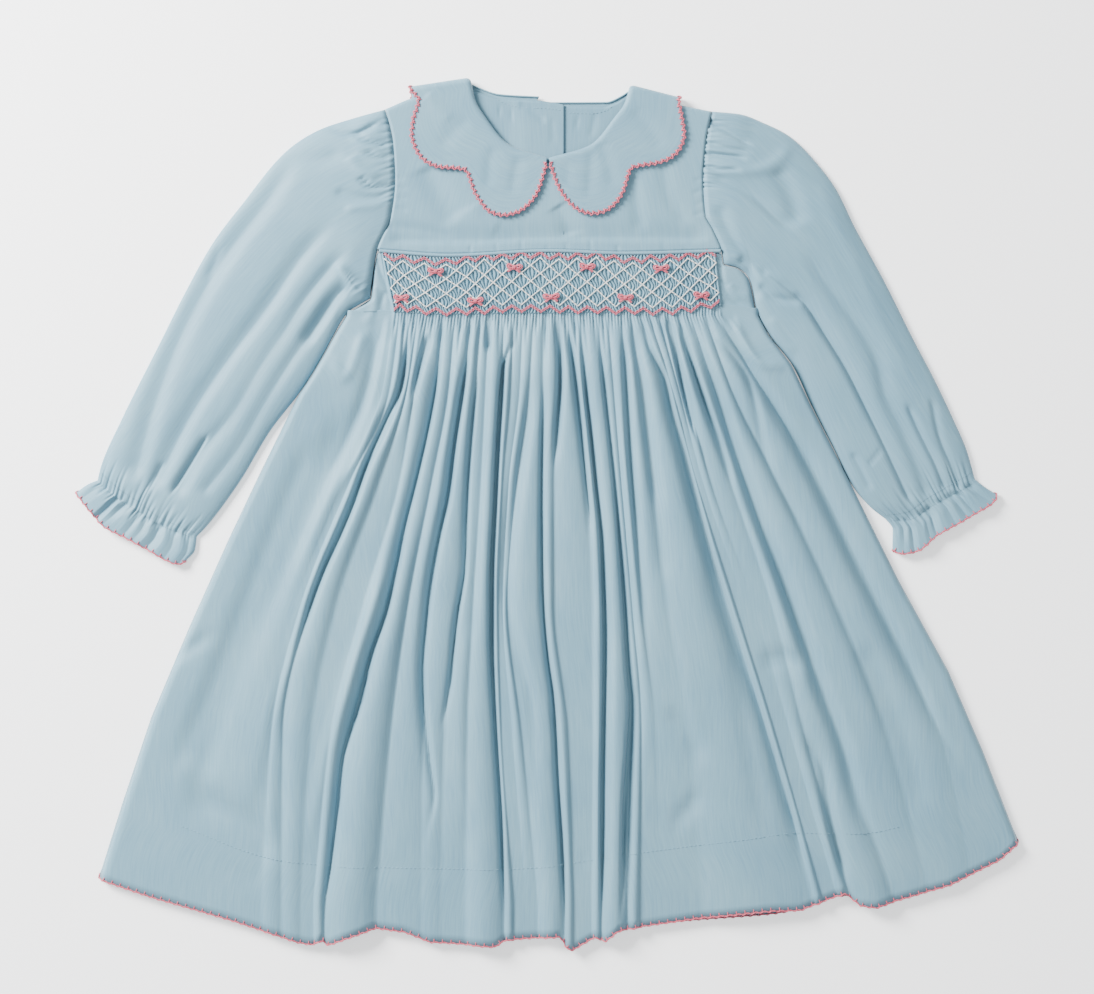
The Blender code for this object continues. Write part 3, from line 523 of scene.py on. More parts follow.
collarRightHalf = {
    "neck": neckLeft[::-1],
    "edge": (
        (-1.2, 224.5), (-2.9, 218.0), (-6.4, 208.1), (-11.3, 201.0), (-20.0, 194.6),
        (-28.7, 192.8), (-37.4, 195.0), (-43.6, 201.6), (-48.2, 209.3), (-51.3, 218.6),
        (-53.6, 222.4), (-60.0, 223.4), (-70.4, 224.2), (-80.3, 228.7), (-86.1, 236.7),
        (-88.4, 245.4), (-87.4, 255.3), (-85.0, 262.7), (-83.8, 268.0), (-88.8, 273.2),
    ),
    "backNeck": ((-49.5, 279.2), (-44.5, 276.9), (-31.0, 272.7), (-5.5, 271.2)),
    "backEdge": (
        (-88.8, 273.2), (-87.0, 252.0), (-79.0, 236.5), (-62.0, 229.5), (-55.0, 227.5),
        (-47.0, 222.5), (-31.0, 222.0), (-17.0, 232.0), (-12.5, 248.0), (-9.0, 264.0),
    ),
    "out": (-0.22, 0.975),
}
collarLeftHalf = {
    "neck": neckRight,
    "edge": (
        (1.8, 225.4), (6.1, 213.0), (12.3, 203.1), (19.8, 196.4), (28.5, 193.9), (35.9, 195.0),
        (43.4, 199.9), (49.0, 208.1), (52.3, 218.5), (54.4, 223.4), (62.1, 225.4), (69.5, 226.4),
        (78.5, 229.3), (86.0, 236.2), (88.8, 245.0), (87.6, 254.5), (85.2, 266.3),
    ),
    "backNeck": ((52.7, 274.6), (48.0, 271.6), (38.0, 267.6), (2.0, 267.4)),
    "backEdge": (
        (85.2, 266.3), (85.0, 250.0), (77.0, 235.0), (61.0, 228.5), (55.0, 227.0), (46.0, 222.0),
        (30.0, 222.5), (15.0, 232.5), (7.5, 247.0), (4.5, 261.0),
    ),
    "out": (0.245, 0.97),
}
collarLook = {
    "top": 8.1, "neckRoll": 3.2, "neckEdge": 1.6, "lowest": 0.85, "frontRows": 150,
    "creases": (
        crease(((494, 146), (489, 166), (488, 190)), -0.5, 8, 6, sharp=0.1),
        crease(((520, 156), (515, 174), (512, 196)), -0.5, 9, 6, sharp=0.1),
        crease(((470, 120), (455, 130), (440, 150)), -0.5, 9, 9, sharp=0.1),
        crease(((425, 95), (440, 112), (452, 122)), 0.5, 8, 8, sharp=0.1),
        crease(((592, 150), (590, 172), (588, 200)), -0.5, 8, 6, sharp=0.1),
        crease(((600, 142), (608, 164), (614, 190)), -0.5, 9, 7, sharp=0.1),
        crease(((632, 110), (650, 130), (664, 150)), -0.5, 9, 9, sharp=0.1),
        crease(((568, 162), (566, 190)), -0.3, 7, 7, sharp=0.1),
    ),
}


def collarRows(half):
    rows = []
    for share in np.linspace(0.0, 1.0, collarLook["frontRows"]):
        rows.append((curve(half["neck"], share), curve(half["edge"], share), 0.0))
    for degrees in range(12, 169, 12):
        rows.append((*rows[collarLook["frontRows"] - 1][:2], math.radians(degrees)))
    for share in np.linspace(0.0, 1.0, 60):
        rows.append((curve(half["backNeck"], share), curve(half["backEdge"], share), math.pi))
    return rows


def buildCollar(name, half, node):
    middle = collarLook["top"] / 2
    rest = np.linspace(0.0, 1.0, 24)[1:]
    lines = []
    for neck, edge, turn in collarRows(half):
        length = np.linalg.norm(edge - neck)
        radius = min(collarLook["neckRoll"], 0.6 * length)
        along = np.r_[radius * edgeRoll, radius + (length - radius) * rest]
        stand = np.full(len(along), middle)
        low = collarLook["neckEdge"]
        stand[:len(edgeRoll)] = low + (middle - low) * rounded(edgeRoll)
        flat = neck + (edge - neck) * (along / length)[:, None]
        flat = flat + np.array(half["out"]) * (stand * math.sin(turn))[:, None]
        lines.append(raised(flat, middle + stand * math.cos(turn)))
    lines = np.array(lines)
    front = lines[:collarLook["frontRows"]]
    front[..., 2] += creases(front[..., :2], collarLook["creases"])
    lines[..., 2] = np.maximum(lines[..., 2], collarLook["lowest"])
    piece = clothPiece(name, lines, walls["collar"], cotton, node)
    return lines


collarGrids = {
    "Right": buildCollar("collarRightPanel", collarRightHalf, "collar_right"),
    "Left": buildCollar("collarLeftPanel", collarLeftHalf, "collar_left"),
}
print("collar done")

# Sleeves

sleeveRight = {
    "armhole": armholeLeft,
    "outer": (
        (-105.6, 262.3), (-128.4, 256.4), (-147.9, 249.9), (-168.7, 236.9), (-199.9, 199.9),
        (-218.1, 175.8), (-235.6, 144.6), (-251.9, 112.1), (-277.9, 60.1), (-290.9, 30.9),
        (-293.4, 21.0),
    ),
    "under": (
        *seamLeft[3:9], (-180.4, 53.6), (-199.9, 21.1), (-216.1, -1.6), (-223.5, -10.5), (-228.6, -15.6),
    ),
    "elastic": (
        (-293.4, 21.0), (-279.8, 10.1), (-268.1, 3.3), (-256.4, -4.9), (-242.8, -10.7), (-228.6, -15.6),
    ),
    "ruffleOuter": ((-293.4, 21.0), (-298.7, 18.9), (-307.6, 12.8)),
    "ruffleUnder": ((-228.6, -15.6), (-229.8, -24.4), (-235.6, -31.5)),
    "ruffle": (
        (-307.6, 12.8), (-296.1, -0.9), (-288.9, -8.8), (-273.3, -17.1), (-256.5, -26.3),
        (-247.3, -31.5), (-240.2, -33.7), (-235.6, -31.5),
    ),
    "side": -1.0, "seed": 20,
    "creases": (
        crease(((302, 146), (264, 204), (226, 254), (196, 304), (173, 352), (153, 408), (132, 484)),
               (-1.4, -2.8, -3.3, -2.8, -2.8, -2.8, -2.6), 10, 14, sharp=0.12, fadeEnd=0.05),
        crease(((340, 214), (302, 256), (268, 306), (226, 362), (190, 416), (152, 492)),
               (-0.9, -2.3, -2.6, -2.3, -2.4, -2.4), 8, 12, sharp=0.15, fadeEnd=0.05),
        crease(((352, 243), (326, 273), (305, 299), (284, 332), (262, 364), (234, 412), (203, 450),
               (173, 500)), (-1.6, -2.2, -2.0, -1.2, -1.0, -1.2, -1.8, -2.4), 8, 8, sharp=0.25, fadeEnd=0.05),
        crease(((342, 284), (314, 328), (290, 362), (264, 404), (240, 446), (200, 497)),
               (-2.0, -2.2, -1.8, -1.3, -1.3, -1.6), 7, 8, sharp=0.3, fadeEnd=0.05),
        crease(((208, 434), (191, 462), (169, 497)), -1.6, 3, 6, sharp=0.6, slit=0.4),
        crease(((163, 462), (148, 492)), -1.2, 3, 5, sharp=0.5),
        crease(((110, 434), (101, 474)), -1.3, 4, 6, sharp=0.3),
        crease(((219, 245), (214, 262), (206, 280)), -1.0, 5, 7, sharp=0.3),
        crease(((276, 152), (318, 160), (346, 152)), -1.2, 9, 9, sharp=0.1),
        crease(((349, 156), (360, 170), (380, 178)), 1.1, 5, 6, sharp=0.2),
        crease(((360, 176), (373, 187), (393, 186)), -1.6, 3, 4, sharp=0.6, slit=0.4),
        crease(((335, 190), (366, 198), (392, 195)), -1.3, 4, 7, sharp=0.3),
        crease(((345, 210), (368, 206), (392, 203)), 0.8, 5, 5, sharp=0.2),
        crease(((323, 123), (352, 134), (382, 120)), -1.7, 3, 5, sharp=0.6, slit=0.4),
        crease(((355, 133), (372, 143), (391, 146)), -1.5, 3, 3, sharp=0.7, slit=0.5),
        crease(((364, 150), (379, 157), (394, 158)), -1.3, 3, 3, sharp=0.7, slit=0.4),
        crease(((333, 262), (344, 273), (356, 287), (372, 294)), (1.2, 2.4, 2.2, 1.0), 7, 4, sharp=0.5,
               fade=0.2),
        crease(((350, 284), (340, 292), (328, 308), (316, 326), (302, 348)), -3.2, 7, 9, sharp=0.4),
    ),
}
sleeveLeft = {
    "armhole": armholeRight,
    "outer": (
        (106.9, 261.0), (125.1, 259.7), (141.4, 253.8), (157.6, 245.4), (177.1, 225.9),
        (188.8, 209.6), (199.9, 186.9), (219.4, 151.1), (238.9, 112.1), (251.9, 87.4),
        (264.9, 60.1), (273.3, 40.6), (278.6, 21.8),
    ),
    "under": (*seamRight[1:6], *seamRight[7:11], (210.3, 3.6), (220.3, -4.2)),
    "elastic": ((278.6, 21.8), (272.5, 17.9), (260.1, 11.2), (249.3, 5.5), (235.2, -3.0), (220.3, -4.2)),
    "ruffleOuter": ((278.6, 21.8), (286.0, 16.0), (292.8, 12.0)),
    "ruffleUnder": ((220.3, -4.2), (225.0, -11.0), (224.8, -24.6)),
    "ruffle": (
        (292.8, 12.0), (291.5, 7.9), (280.7, 0.5), (269.2, -6.2), (254.2, -14.5), (239.3, -25.7),
        (230.2, -27.0), (224.8, -24.6),
    ),
    "side": 1.0, "seed": 40,
    "creases": (
        crease(((750, 260), (779, 283), (803, 301), (823, 331), (847, 370), (862, 400), (877, 430),
               (895, 468), (913, 507)), (-0.6, -1.2, -2.8, -3.0, -2.6, -2.4, -2.0, -2.0, -2.0), 10, 5,
               sharp=0.45, slit=0.3, fadeEnd=0.05),
        crease(((800, 246), (834, 294), (859, 328), (877, 360), (885, 394), (902, 430), (922, 477),
               (931, 502)), (-1.0, -1.6, -1.8, -2.0, -2.0, -1.8, -1.8, -2.0), 11, 8, sharp=0.15,
               fadeEnd=0.05),
        crease(((906, 402), (921, 435), (936, 465), (946, 491)), -1.9, 5, 4, sharp=0.5, fadeEnd=0.05),
        crease(((931, 396), (939, 435), (954, 471), (960, 489)), -1.7, 5, 4, sharp=0.5, fadeEnd=0.05),
        crease(((966, 436), (975, 466), (975, 482)), -1.1, 3, 4),
        crease(((709, 175), (750, 195), (781, 222), (800, 233)), (-1.8, -1.8, -1.5, -1.0), 9, 5, sharp=0.25),
        crease(((716, 203), (731, 237), (750, 259), (779, 282)), -1.5, 8, 6, sharp=0.2),
        crease(((776, 168), (792, 200), (799, 228)), -2.0, 12, 11, sharp=0.08),
        crease(((712, 168), (750, 172), (781, 158), (793, 138)), 1.4, 6, 6, sharp=0.2),
        crease(((815, 180), (850, 250), (885, 330), (925, 400)), 0.8, 9, 9, sharp=0.1),
        crease(((705, 118), (729, 133), (753, 147)), -1.7, 4, 4, sharp=0.6, slit=0.4),
        crease(((704, 140), (728, 149), (752, 152)), -1.2, 3, 4, sharp=0.4),
        crease(((703, 153), (730, 156), (748, 158)), -1.6, 3, 4, sharp=0.6, slit=0.5),
        crease(((702, 165), (720, 170), (742, 170)), -1.4, 3, 3, sharp=0.6, slit=0.3),
        crease(((736, 259), (747, 266), (752, 280), (757, 302)), -2.4, 7, 5, sharp=0.3),
        crease(((758, 284), (775, 298), (803, 302)), -1.9, 5, 5, sharp=0.4),
        crease(((764, 272), (784, 288), (801, 296)), 1.0, 4, 4, sharp=0.3),
        crease(((768, 318), (782, 342), (796, 356)), 1.0, 7, 7, sharp=0.1),
        crease(((868, 466), (882, 448)), -0.8, 3, 3),
        crease(((852, 452), (872, 492)), -1.2, 4, 5, sharp=0.3),
    ),
}
sleeveRings = {
    "at": (0.0, 0.025, 0.08, 0.15, 0.25, 0.37, 0.51, 0.67, 0.82, 0.94, 1.0),
    "top": (6.6, 7.8, 8.4, 8.1, 7.8, 7.6, 7.4, 7.2, 7.0, 6.2, 4.8),
}
ruffleRings = {"at": (0.0, 0.35, 1.0), "top": (4.8, 5.8, 6.2)}
# short gathers: how many, over which stretch, how far they reach, how deep and how wide they are
headGathers = {"count": 15, "span": (0.04, 0.50), "reach": (7.0, 22.0), "deep": (0.4, 1.3), "width": 0.016}
cuffGathers = {"count": 25, "span": (0.02, 0.98), "reach": (6.0, 30.0), "deep": (0.5, 1.6), "width": 0.022}
ruffleGathers = {
    "count": 8, "span": (0.02, 0.98), "reach": (22.0, 60.0), "deep": (1.4, 3.4), "width": 0.052,
    "shorten": 2.4,
}


# the cross-section is round to this power, and boxy near the armhole
sleeveLook = {
    "steps": 232, "rows": 110, "ruffleRows": 18, "round": 4.0, "boxy": 14.0, "boxyRun": 30.0,
    "liftRun": 28.0, "low": 1.9, "least": 0.8,
}


def gathered(over, away, look, seed):
    # uneven gathers drawn in along a stitched line; away is the distance from that line
    draw = np.random.default_rng(seed)
    fall = np.zeros(away.shape)
    first, last = look["span"]
    for k in range(look["count"]):
        place = first + (k + draw.uniform(0.15, 0.85)) / look["count"] * (last - first)
        reach = draw.uniform(*look["reach"])
        deep = draw.uniform(*look["deep"])
        width = look["width"] * draw.uniform(0.7, 1.4)
        drift = draw.uniform(-0.8, 0.8) * width
        offset = np.abs(over[None, :] - place - drift * away / reach) / width
        fall -= deep * (1.0 - ease(away / reach)) * np.clip(1.0 - offset, 0.0, 1.0) ** 1.2
    return fall


def buildSleeve(name, spec, node):
    over = np.linspace(0.0, 1.0, sleeveLook["steps"] + 1)
    under = np.r_[np.linspace(0.985, 0.72, 8), np.linspace(0.65, 0.08, 8), 0.015]
    v = np.linspace(0.0, 1.0, sleeveLook["rows"])
    head = beside(curve(spec["armhole"], over), -spec["side"] * 0.1)
    underarm = [soft(sleeveRings["at"], [p[k] for p in spec["under"]], v) for k in (0, 1)]
    underarm = np.stack(underarm, axis=-1)
    plan = patch(head, curve(spec["elastic"], over), curve(spec["outer"], v), underarm, over, v)
    w = np.linspace(0.0, 1.0, sleeveLook["ruffleRows"])
    cuffSides = curve(spec["ruffleOuter"], w), curve(spec["ruffleUnder"], w)
    cuff = patch(plan[-1], curve(spec["ruffle"], over), *cuffSides, over, w)
    elastic = len(plan) - 1
    plan = np.concatenate([plan, cuff[1:]])
    top = np.r_[
        soft(sleeveRings["at"], sleeveRings["top"], v),
        soft(ruffleRings["at"], ruffleRings["top"], w[1:]),
    ]
    fromHead = np.linalg.norm(plan - plan[0], axis=-1)
    fromCuff = np.linalg.norm(plan - plan[elastic], axis=-1)
    isRuffle = (np.arange(len(plan)) > elastic)[:, None]
    seed = spec["seed"]
    gathers = gathered(over, fromHead, headGathers, seed)
    nearCuff = fromCuff * np.where(isRuffle, ruffleGathers["shorten"], 1.0)
    gathers = gathers + gathered(over, nearCuff, cuffGathers, seed + 1)
    gathers = gathers + np.where(isRuffle, gathered(over, fromCuff, ruffleGathers, seed + 2), 0.0)
    calm = ease(np.minimum(over, 1.0 - over) / 0.06)
    power = sleeveLook["round"] + sleeveLook["boxy"] * (1.0 - ease(fromHead / sleeveLook["boxyRun"]))
    roundSide = np.sqrt(np.clip(1.0 - np.abs(2.0 * over - 1.0)[None, :] ** power, 0.0, 1.0))
    loops = []
    bent = creases(plan, spec["creases"])
    for k, flat in enumerate(plan):
        fade = 1.0 - ease(fromHead[k] / sleeveLook["liftRun"])
        lift = fade * tableLift(flat[:, 1])
        low = sleeveLook["low"] + lift
        full = np.maximum(top[k] + gathers[k] * calm + bent[k], low + sleeveLook["least"])
        foot = np.stack([np.interp(under, over, flat[:, j]) for j in (0, 1)], axis=-1)
        loop = np.concatenate([
            raised(flat, low + (full - low) * roundSide[k]),
            raised(foot, np.interp(under, over, lift)),
        ])
        loops.append(np.concatenate([loop, loop[:1]]))
    piece = clothPiece(name, np.array(loops), walls["front"], cotton, node, closed=True)
    return np.array(loops), elastic


sleeveGrids = {
    "Right": buildSleeve("sleeveRightTube", sleeveRight, "sleeve_right"),
    "Left": buildSleeve("sleeveLeftTube", sleeveLeft, "sleeve_left"),
}
print("sleeves done")

# Front skirt

# gathers of the skirt: x and depth at each of these distances below the smocking
gatherLevels = (0.0, 48.0, 108.0, 188.0, 268.0, 380.0)
gathers = (
    ((-105, -116, -143, -177, -205, -229), (2, 3, 2.5, 1, 0, 0)),
    ((-101, -108, -134, -165, -186, -199), (2, 1, 0, 0, 0, 0)),
    ((-96, -102, -128, -160, -179, -186), (2, 1.5, 0, 0, 0, 0)),
    ((-89, -95, -122, -154, -172, -173), (2.5, 5, 6, 5, 4, 2)),
    ((-84, -91, -110, -138, -154, -161), (2, 1, 0, 0, 0, 0)),
    ((-78, -86, -96, -119, -140, -152), (3, 3, 1, 0, 0, 0)),
    ((-68, -73, -86, -104, -128, -145), (2.5, 4, 4, 7, 9, 9)),
    ((-60, -64, -75, -91, -102, -112), (2, 0.5, 0, 0, 0, 0)),
    ((-49, -55, -64, -78, -81, -82), (2.5, 6, 5, 4, 3, 1)),
    ((-43, -47, -52, -58, -67, -70), (2, 2, 2, 3, 3, 0)),
    ((-38, -40, -43, -48, -52, -53), (3, 2, 0, 0, 0, 0)),
    ((-28, -30, -34, -36, -35, -28), (2.5, 7, 8, 7, 5, 7)),
    ((-22, -24, -29, -32, -30, -22), (2, 0.5, 0, 0, 0, 0)),
    ((-16, -18, -25, -29, -23, -14), (2, 1, 0, 0, 0, 0)),
    ((-9, -12, -20, -26, -17, -6), (2, 3, 4, 4, 3, 0)),
    ((-3, -3, -4, -3, 5, 11), (2, 2, 3, 4, 4, 6)),
    ((7, 8, 4, 4, 13, 17), (2.5, 5, 2, 0, 0, 0)),
    ((13, 18, 25, 30, 30, 29), (2, 3.5, 3.5, 1, 0, 0)),
    ((21, 25, 31, 36, 36, 35), (2, 2.5, 3, 5, 6, 8)),
    ((33, 37, 43, 50, 54, 52), (2, 3, 3, 4, 8, 8)),
    ((39, 43, 48, 55, 61, 60), (2, 1, 0, 0, 0, 0)),
    ((48, 51, 55, 61, 70, 73), (2, 3, 5, 3, 1, 0)),
    ((54, 61, 68, 78, 92, 102), (2, 4, 4, 2, 0.5, 0)),
    ((60, 77, 93, 116, 141, 173), (2, 4, 7, 8, 5, 6)),
    ((66, 81, 97, 122, 147, 179), (2, 1, 0, 0, 0, 0)),
    ((72, 85, 101, 128, 152, 184), (2, 0.5, 0, 0, 0, 0)),
    ((78, 90, 106, 134, 157, 189), (2.5, 5, 2, 0, 0, 0)),
    ((85, 99, 119, 146, 166, 197), (2.5, 3, 2, 0, 3, 7)),
    ((93, 109, 129, 158, 188, 225), (2.5, 5, 7, 7, 4, 1)),
    ((102, 119, 149, 187, 219, 249), (2.5, 5, 3, 0.5, 0, 0)),
    ((110, 139, 176, 215, 254, 278), (2, 4, 5, 5, 3, 1.5)),
)
# stitch line of the front hem, on the grid
hemLine = (
    (181, 826), (279, 860), (343, 866), (502, 869), (645, 852),
    (744, 839), (795, 833), (865, 833), (900, 826),
)
# main folds of the skirt, from the smocking down
skirtFolds = (
    crease(((380, 317), (371, 377), (347, 446), (324, 489)), (-2, -2.5, -2, -0.5), 8, 8, sharp=0.3),
    crease(((409, 334), (402, 383), (386, 420), (366, 464), (355, 498), (343, 528), (321, 576), (305, 621),
           (292, 664)), (-2.5, -4, -4, -4, -4, -4, -3.5, -2.6, -1.6), 4, 5, slit=0.3),
    crease(((290, 640), (280, 700), (277, 770), (281, 858)), (-1.2, -1.4, -1.2, -0.8), 9, 9, sharp=0.1),
    crease(((429, 334), (417, 377), (410, 403)), (-3, -2.5, -1), 5, 4),
    crease(((443, 334), (436, 386), (428, 429), (414, 489), (405, 522), (396, 567), (386, 612), (370, 656),
           (361, 699), (351, 728), (342, 757), (336, 823), (327, 894), (322, 937)),
           (-2, -3, -3, -3.5, -4, -4, -4, -4.5, -5, -5, -5, -4.5, -4, -4), 3, 11, slit=0.6),
    crease(((470, 346), (462, 395), (454, 446), (448, 498), (440, 531), (428, 603), (422, 674), (431, 769),
           (435, 796), (426, 832), (422, 858)), (-4, -4.5, -4, -3.5, -3, -3, -2.5, -2.5, -2, -1.5, -0.5),
           3.5, 7, slit=0.6),
    crease(((489, 317), (488, 352)), -3, 3, 4, slit=0.6),
    crease(((479, 369), (472, 420), (467, 498), (465, 567), (456, 621), (449, 692), (438, 739)),
           (-1, -1.5, -1.5, -2, -2, -2, -1.5), 3, 4, sharp=0.9, slit=1.0),
    crease(((521, 334), (504, 360), (500, 403), (497, 455), (495, 498), (491, 585), (491, 639), (493, 692),
           (496, 742), (501, 823), (504.6, 930)), (-3, -4.5, -5, -5, -4.5, -4.5, -4, -4, -3.5, -3.5, -3), 4,
           3, slit=1.0),
    crease(((531, 369), (527, 412), (521, 455), (514, 498), (506, 576), (510, 621), (524, 674), (531, 699),
           (537, 832)), (-2, -2.5, -2.5, -2.5, -2, -1.5, -1.5, -1.5, -0.5), 8, 8, sharp=0.2),
    crease(((544, 369), (541, 498), (542, 585), (547, 656), (553, 699), (556, 769), (562, 859), (565, 937)),
           (-1, -1.8, -2.2, -2.4, -2.6, -3, -3, -2.5), 6, 2, sharp=0.9, slit=1.2),
    crease(((558, 317), (560, 377), (557, 420), (554, 472)), (-3, -3.5, -2.5, -1), 5, 4, slit=0.5),
    crease(((568, 326), (574, 369), (580, 420), (585, 472), (594, 549)), (-2, -2.5, -2.5, -2, -1), 5, 4,
           slit=0.6),
    crease(((580, 326), (585, 386), (590, 429), (597, 498), (601, 531), (603, 585), (604.6, 639), (602, 805),
           (602, 930)), (-2, -2, -2.5, -2.5, -3, -3.5, -4, -4, -4), 8, 3, sharp=0.8, slit=0.9),
    crease(((598, 326), (603, 377), (609, 429), (616, 498), (624, 603), (628, 674), (631, 699), (624, 805),
           (622, 894), (619, 926)), (-2, -2, -2, -2.5, -3.5, -4, -4.5, -5, -5, -4.5), 11, 3, slit=0.6),
    crease(((623, 326), (626, 386), (629, 446), (635, 513), (640, 567), (651, 656)),
           (-3, -3, -3, -2.5, -1.5, -0.5), 6, 4),
    crease(((631, 326), (640, 377), (647, 429), (655, 489), (664, 522)), (-2, -2.5, -2.5, -2, -0.5), 7, 6,
           sharp=0.2),
    crease(((640, 317), (650, 352), (664, 377), (671, 412), (683, 451), (695, 498), (711, 558), (727, 608),
           (745, 662), (757, 699), (768, 736), (793, 818), (814, 898)),
           (-2.5, -3, -3.5, -4, -4.5, -5, -5, -4.5, -4, -3.5, -3, -3.5, -3), 4, 9, slit=0.9),
    crease(((667, 317), (678, 369), (686, 403), (698, 446)), (-4, -4, -3, -1), 5, 4, slit=0.6),
    crease(((678, 326), (690, 360), (705, 403), (721, 446), (738, 498)), (-2, -3, -3, -2, -0.5), 4, 6,
           slit=0.5),
    crease(((690, 321), (700, 352), (714, 386), (729, 438), (747, 489), (759, 522), (781, 576), (802, 635),
           (822, 692), (842, 742), (860, 813), (880, 851), (895, 882)),
           (-3, -3.5, -3.5, -4, -4.5, -4.5, -4.5, -4, -4, -3.5, -3, -2, -1), 8, 10, sharp=0.3),
    crease(((803, 736), (824, 770), (829, 813), (847, 884)), (-1.5, -2.5, -3, -4), 6, 6),
    crease(((716, 338), (747, 377), (770, 469), (799, 519), (816, 546)), (-3, -2.5, -1, -1.5, -0.5), 5, 7),
    crease(((716, 321), (735, 345), (755, 377), (781, 417), (809, 465), (831, 510), (857, 564), (884, 615),
           (918, 683), (936, 724), (954, 757), (951, 782)),
           (-2.5, -3, -3, -3, -3, -3, -3, -2.5, -2.5, -2, -1.5, -0.5), 7, 9, sharp=0.3, slit=0.4),
    crease(((383, 396), (359, 455), (331, 498), (305, 560), (288, 610)), 1.5, 7, 7, sharp=0.3, fadeEnd=0.4),
    crease(((731, 317), (762, 364), (790, 367)), 1.5, 5, 5, sharp=0.3),
    crease(((758, 668), (772, 658), (786, 656), (808, 670)), -2.3, 6, 12, sharp=0.15, fade=0.3, fadeEnd=0.3),
    crease(((658, 712), (676, 718), (692, 734), (704, 762)), -1.7, 6, 9, sharp=0.2, fade=0.3),
    crease(((668, 828), (684, 814), (704, 790)), -1.7, 8, 7, sharp=0.2, fade=0.3, fadeEnd=0.3),
    crease(hemLine, -0.45, 2, 1.5, sharp=0.5),
    crease(((184, 788), (206, 801), (236, 813), (262, 838), (280, 868)), (-1.2, -2.2, -2.2, -2.0, -1.4), 9,
           14, sharp=0.15, fade=0.25),
    crease(((172, 770), (186, 768), (208, 778), (232, 792)), 1.3, 9, 7, sharp=0.15, fade=0.3, fadeEnd=0.4),
    crease(((365, 330), (345, 378), (330, 352)), 1.2, 5, 5, sharp=0.2),
    crease(((352, 400), (318, 480), (280, 570), (240, 660), (205, 760), (190, 840)), -2.2, 18, 16,
           sharp=0.05),
    crease(((316, 430), (262, 560), (214, 680), (168, 790)), -1.8, 13, 12, sharp=0.05),
    crease(((174, 660), (194, 646), (222, 632)), -1.6, 7, 5, sharp=0.3, fade=0.05, fadeEnd=0.5),
    crease(((300, 640), (262, 730), (236, 830)), 1.0, 13, 13, sharp=0.05),
    crease(((232, 868), (244, 876), (262, 880)), -1.2, 6, 4, sharp=0.3),
    crease(((790, 420), (838, 520), (884, 620), (930, 720)), -1.4, 12, 14, sharp=0.05),
    crease(((760, 440), (806, 560), (850, 660), (886, 760)), 1.0, 12, 12, sharp=0.05),
    crease(((860, 640), (905, 740), (925, 820)), -1.4, 12, 14, sharp=0.05),
    crease(((700, 560), (732, 650), (752, 760), (770, 850)), -1.3, 9, 11, sharp=0.1),
    crease(((660, 560), (680, 660), (700, 760)), 1.0, 12, 12, sharp=0.05),
    crease(((390, 560), (362, 640), (330, 740), (305, 860)), 1.0, 9, 9, sharp=0.1),
    crease(((470, 620), (462, 720), (466, 840)), 0.9, 9, 9, sharp=0.1),
)
skirtLook = {
    "top": 128.0, "pleats": 105, "perPleat": 4, "sideColumns": 20, "rows": 98, "body": 5.2, "bodyHem": 3.6,
    "foldScale": 1.2, "tuckUnder": 0.12, "lowEdge": 1.6,
}
smockFrom, smockTo = bandFoot[0][0], bandFoot[-1][0]


tickLook = {
    "seed": 7, "drawn": 40, "count": 36, "apart": 3.0, "wide": 0.95,
    "deep": (0.5, 2.6), "reach": (14.0, 52.0), "shift": (-0.25, 0.25),
}


def gatherTicks(pleat, below):
    # small uneven gathers that open out of the smocking, three pleats apart
    look = tickLook
    draw = np.random.default_rng(look["seed"])
    depth = draw.uniform(*look["deep"], look["drawn"])
    reach = draw.uniform(*look["reach"], look["drawn"])
    shift = draw.uniform(*look["shift"], look["drawn"])
    fall = np.zeros(below.shape)
    for k in range(look["count"]):
        drift = shift[k] * np.clip(below / 20.0, 0.0, 3.0)
        away = np.abs(pleat - (1.0 + look["apart"] * k) - drift) / look["wide"]
        window = ease(below / 5.0) * (1.0 - ease(below / reach[k]))
        fall -= depth[k] * window * np.clip(1.0 - away, 0.0, 1.0) ** 1.2
    return fall


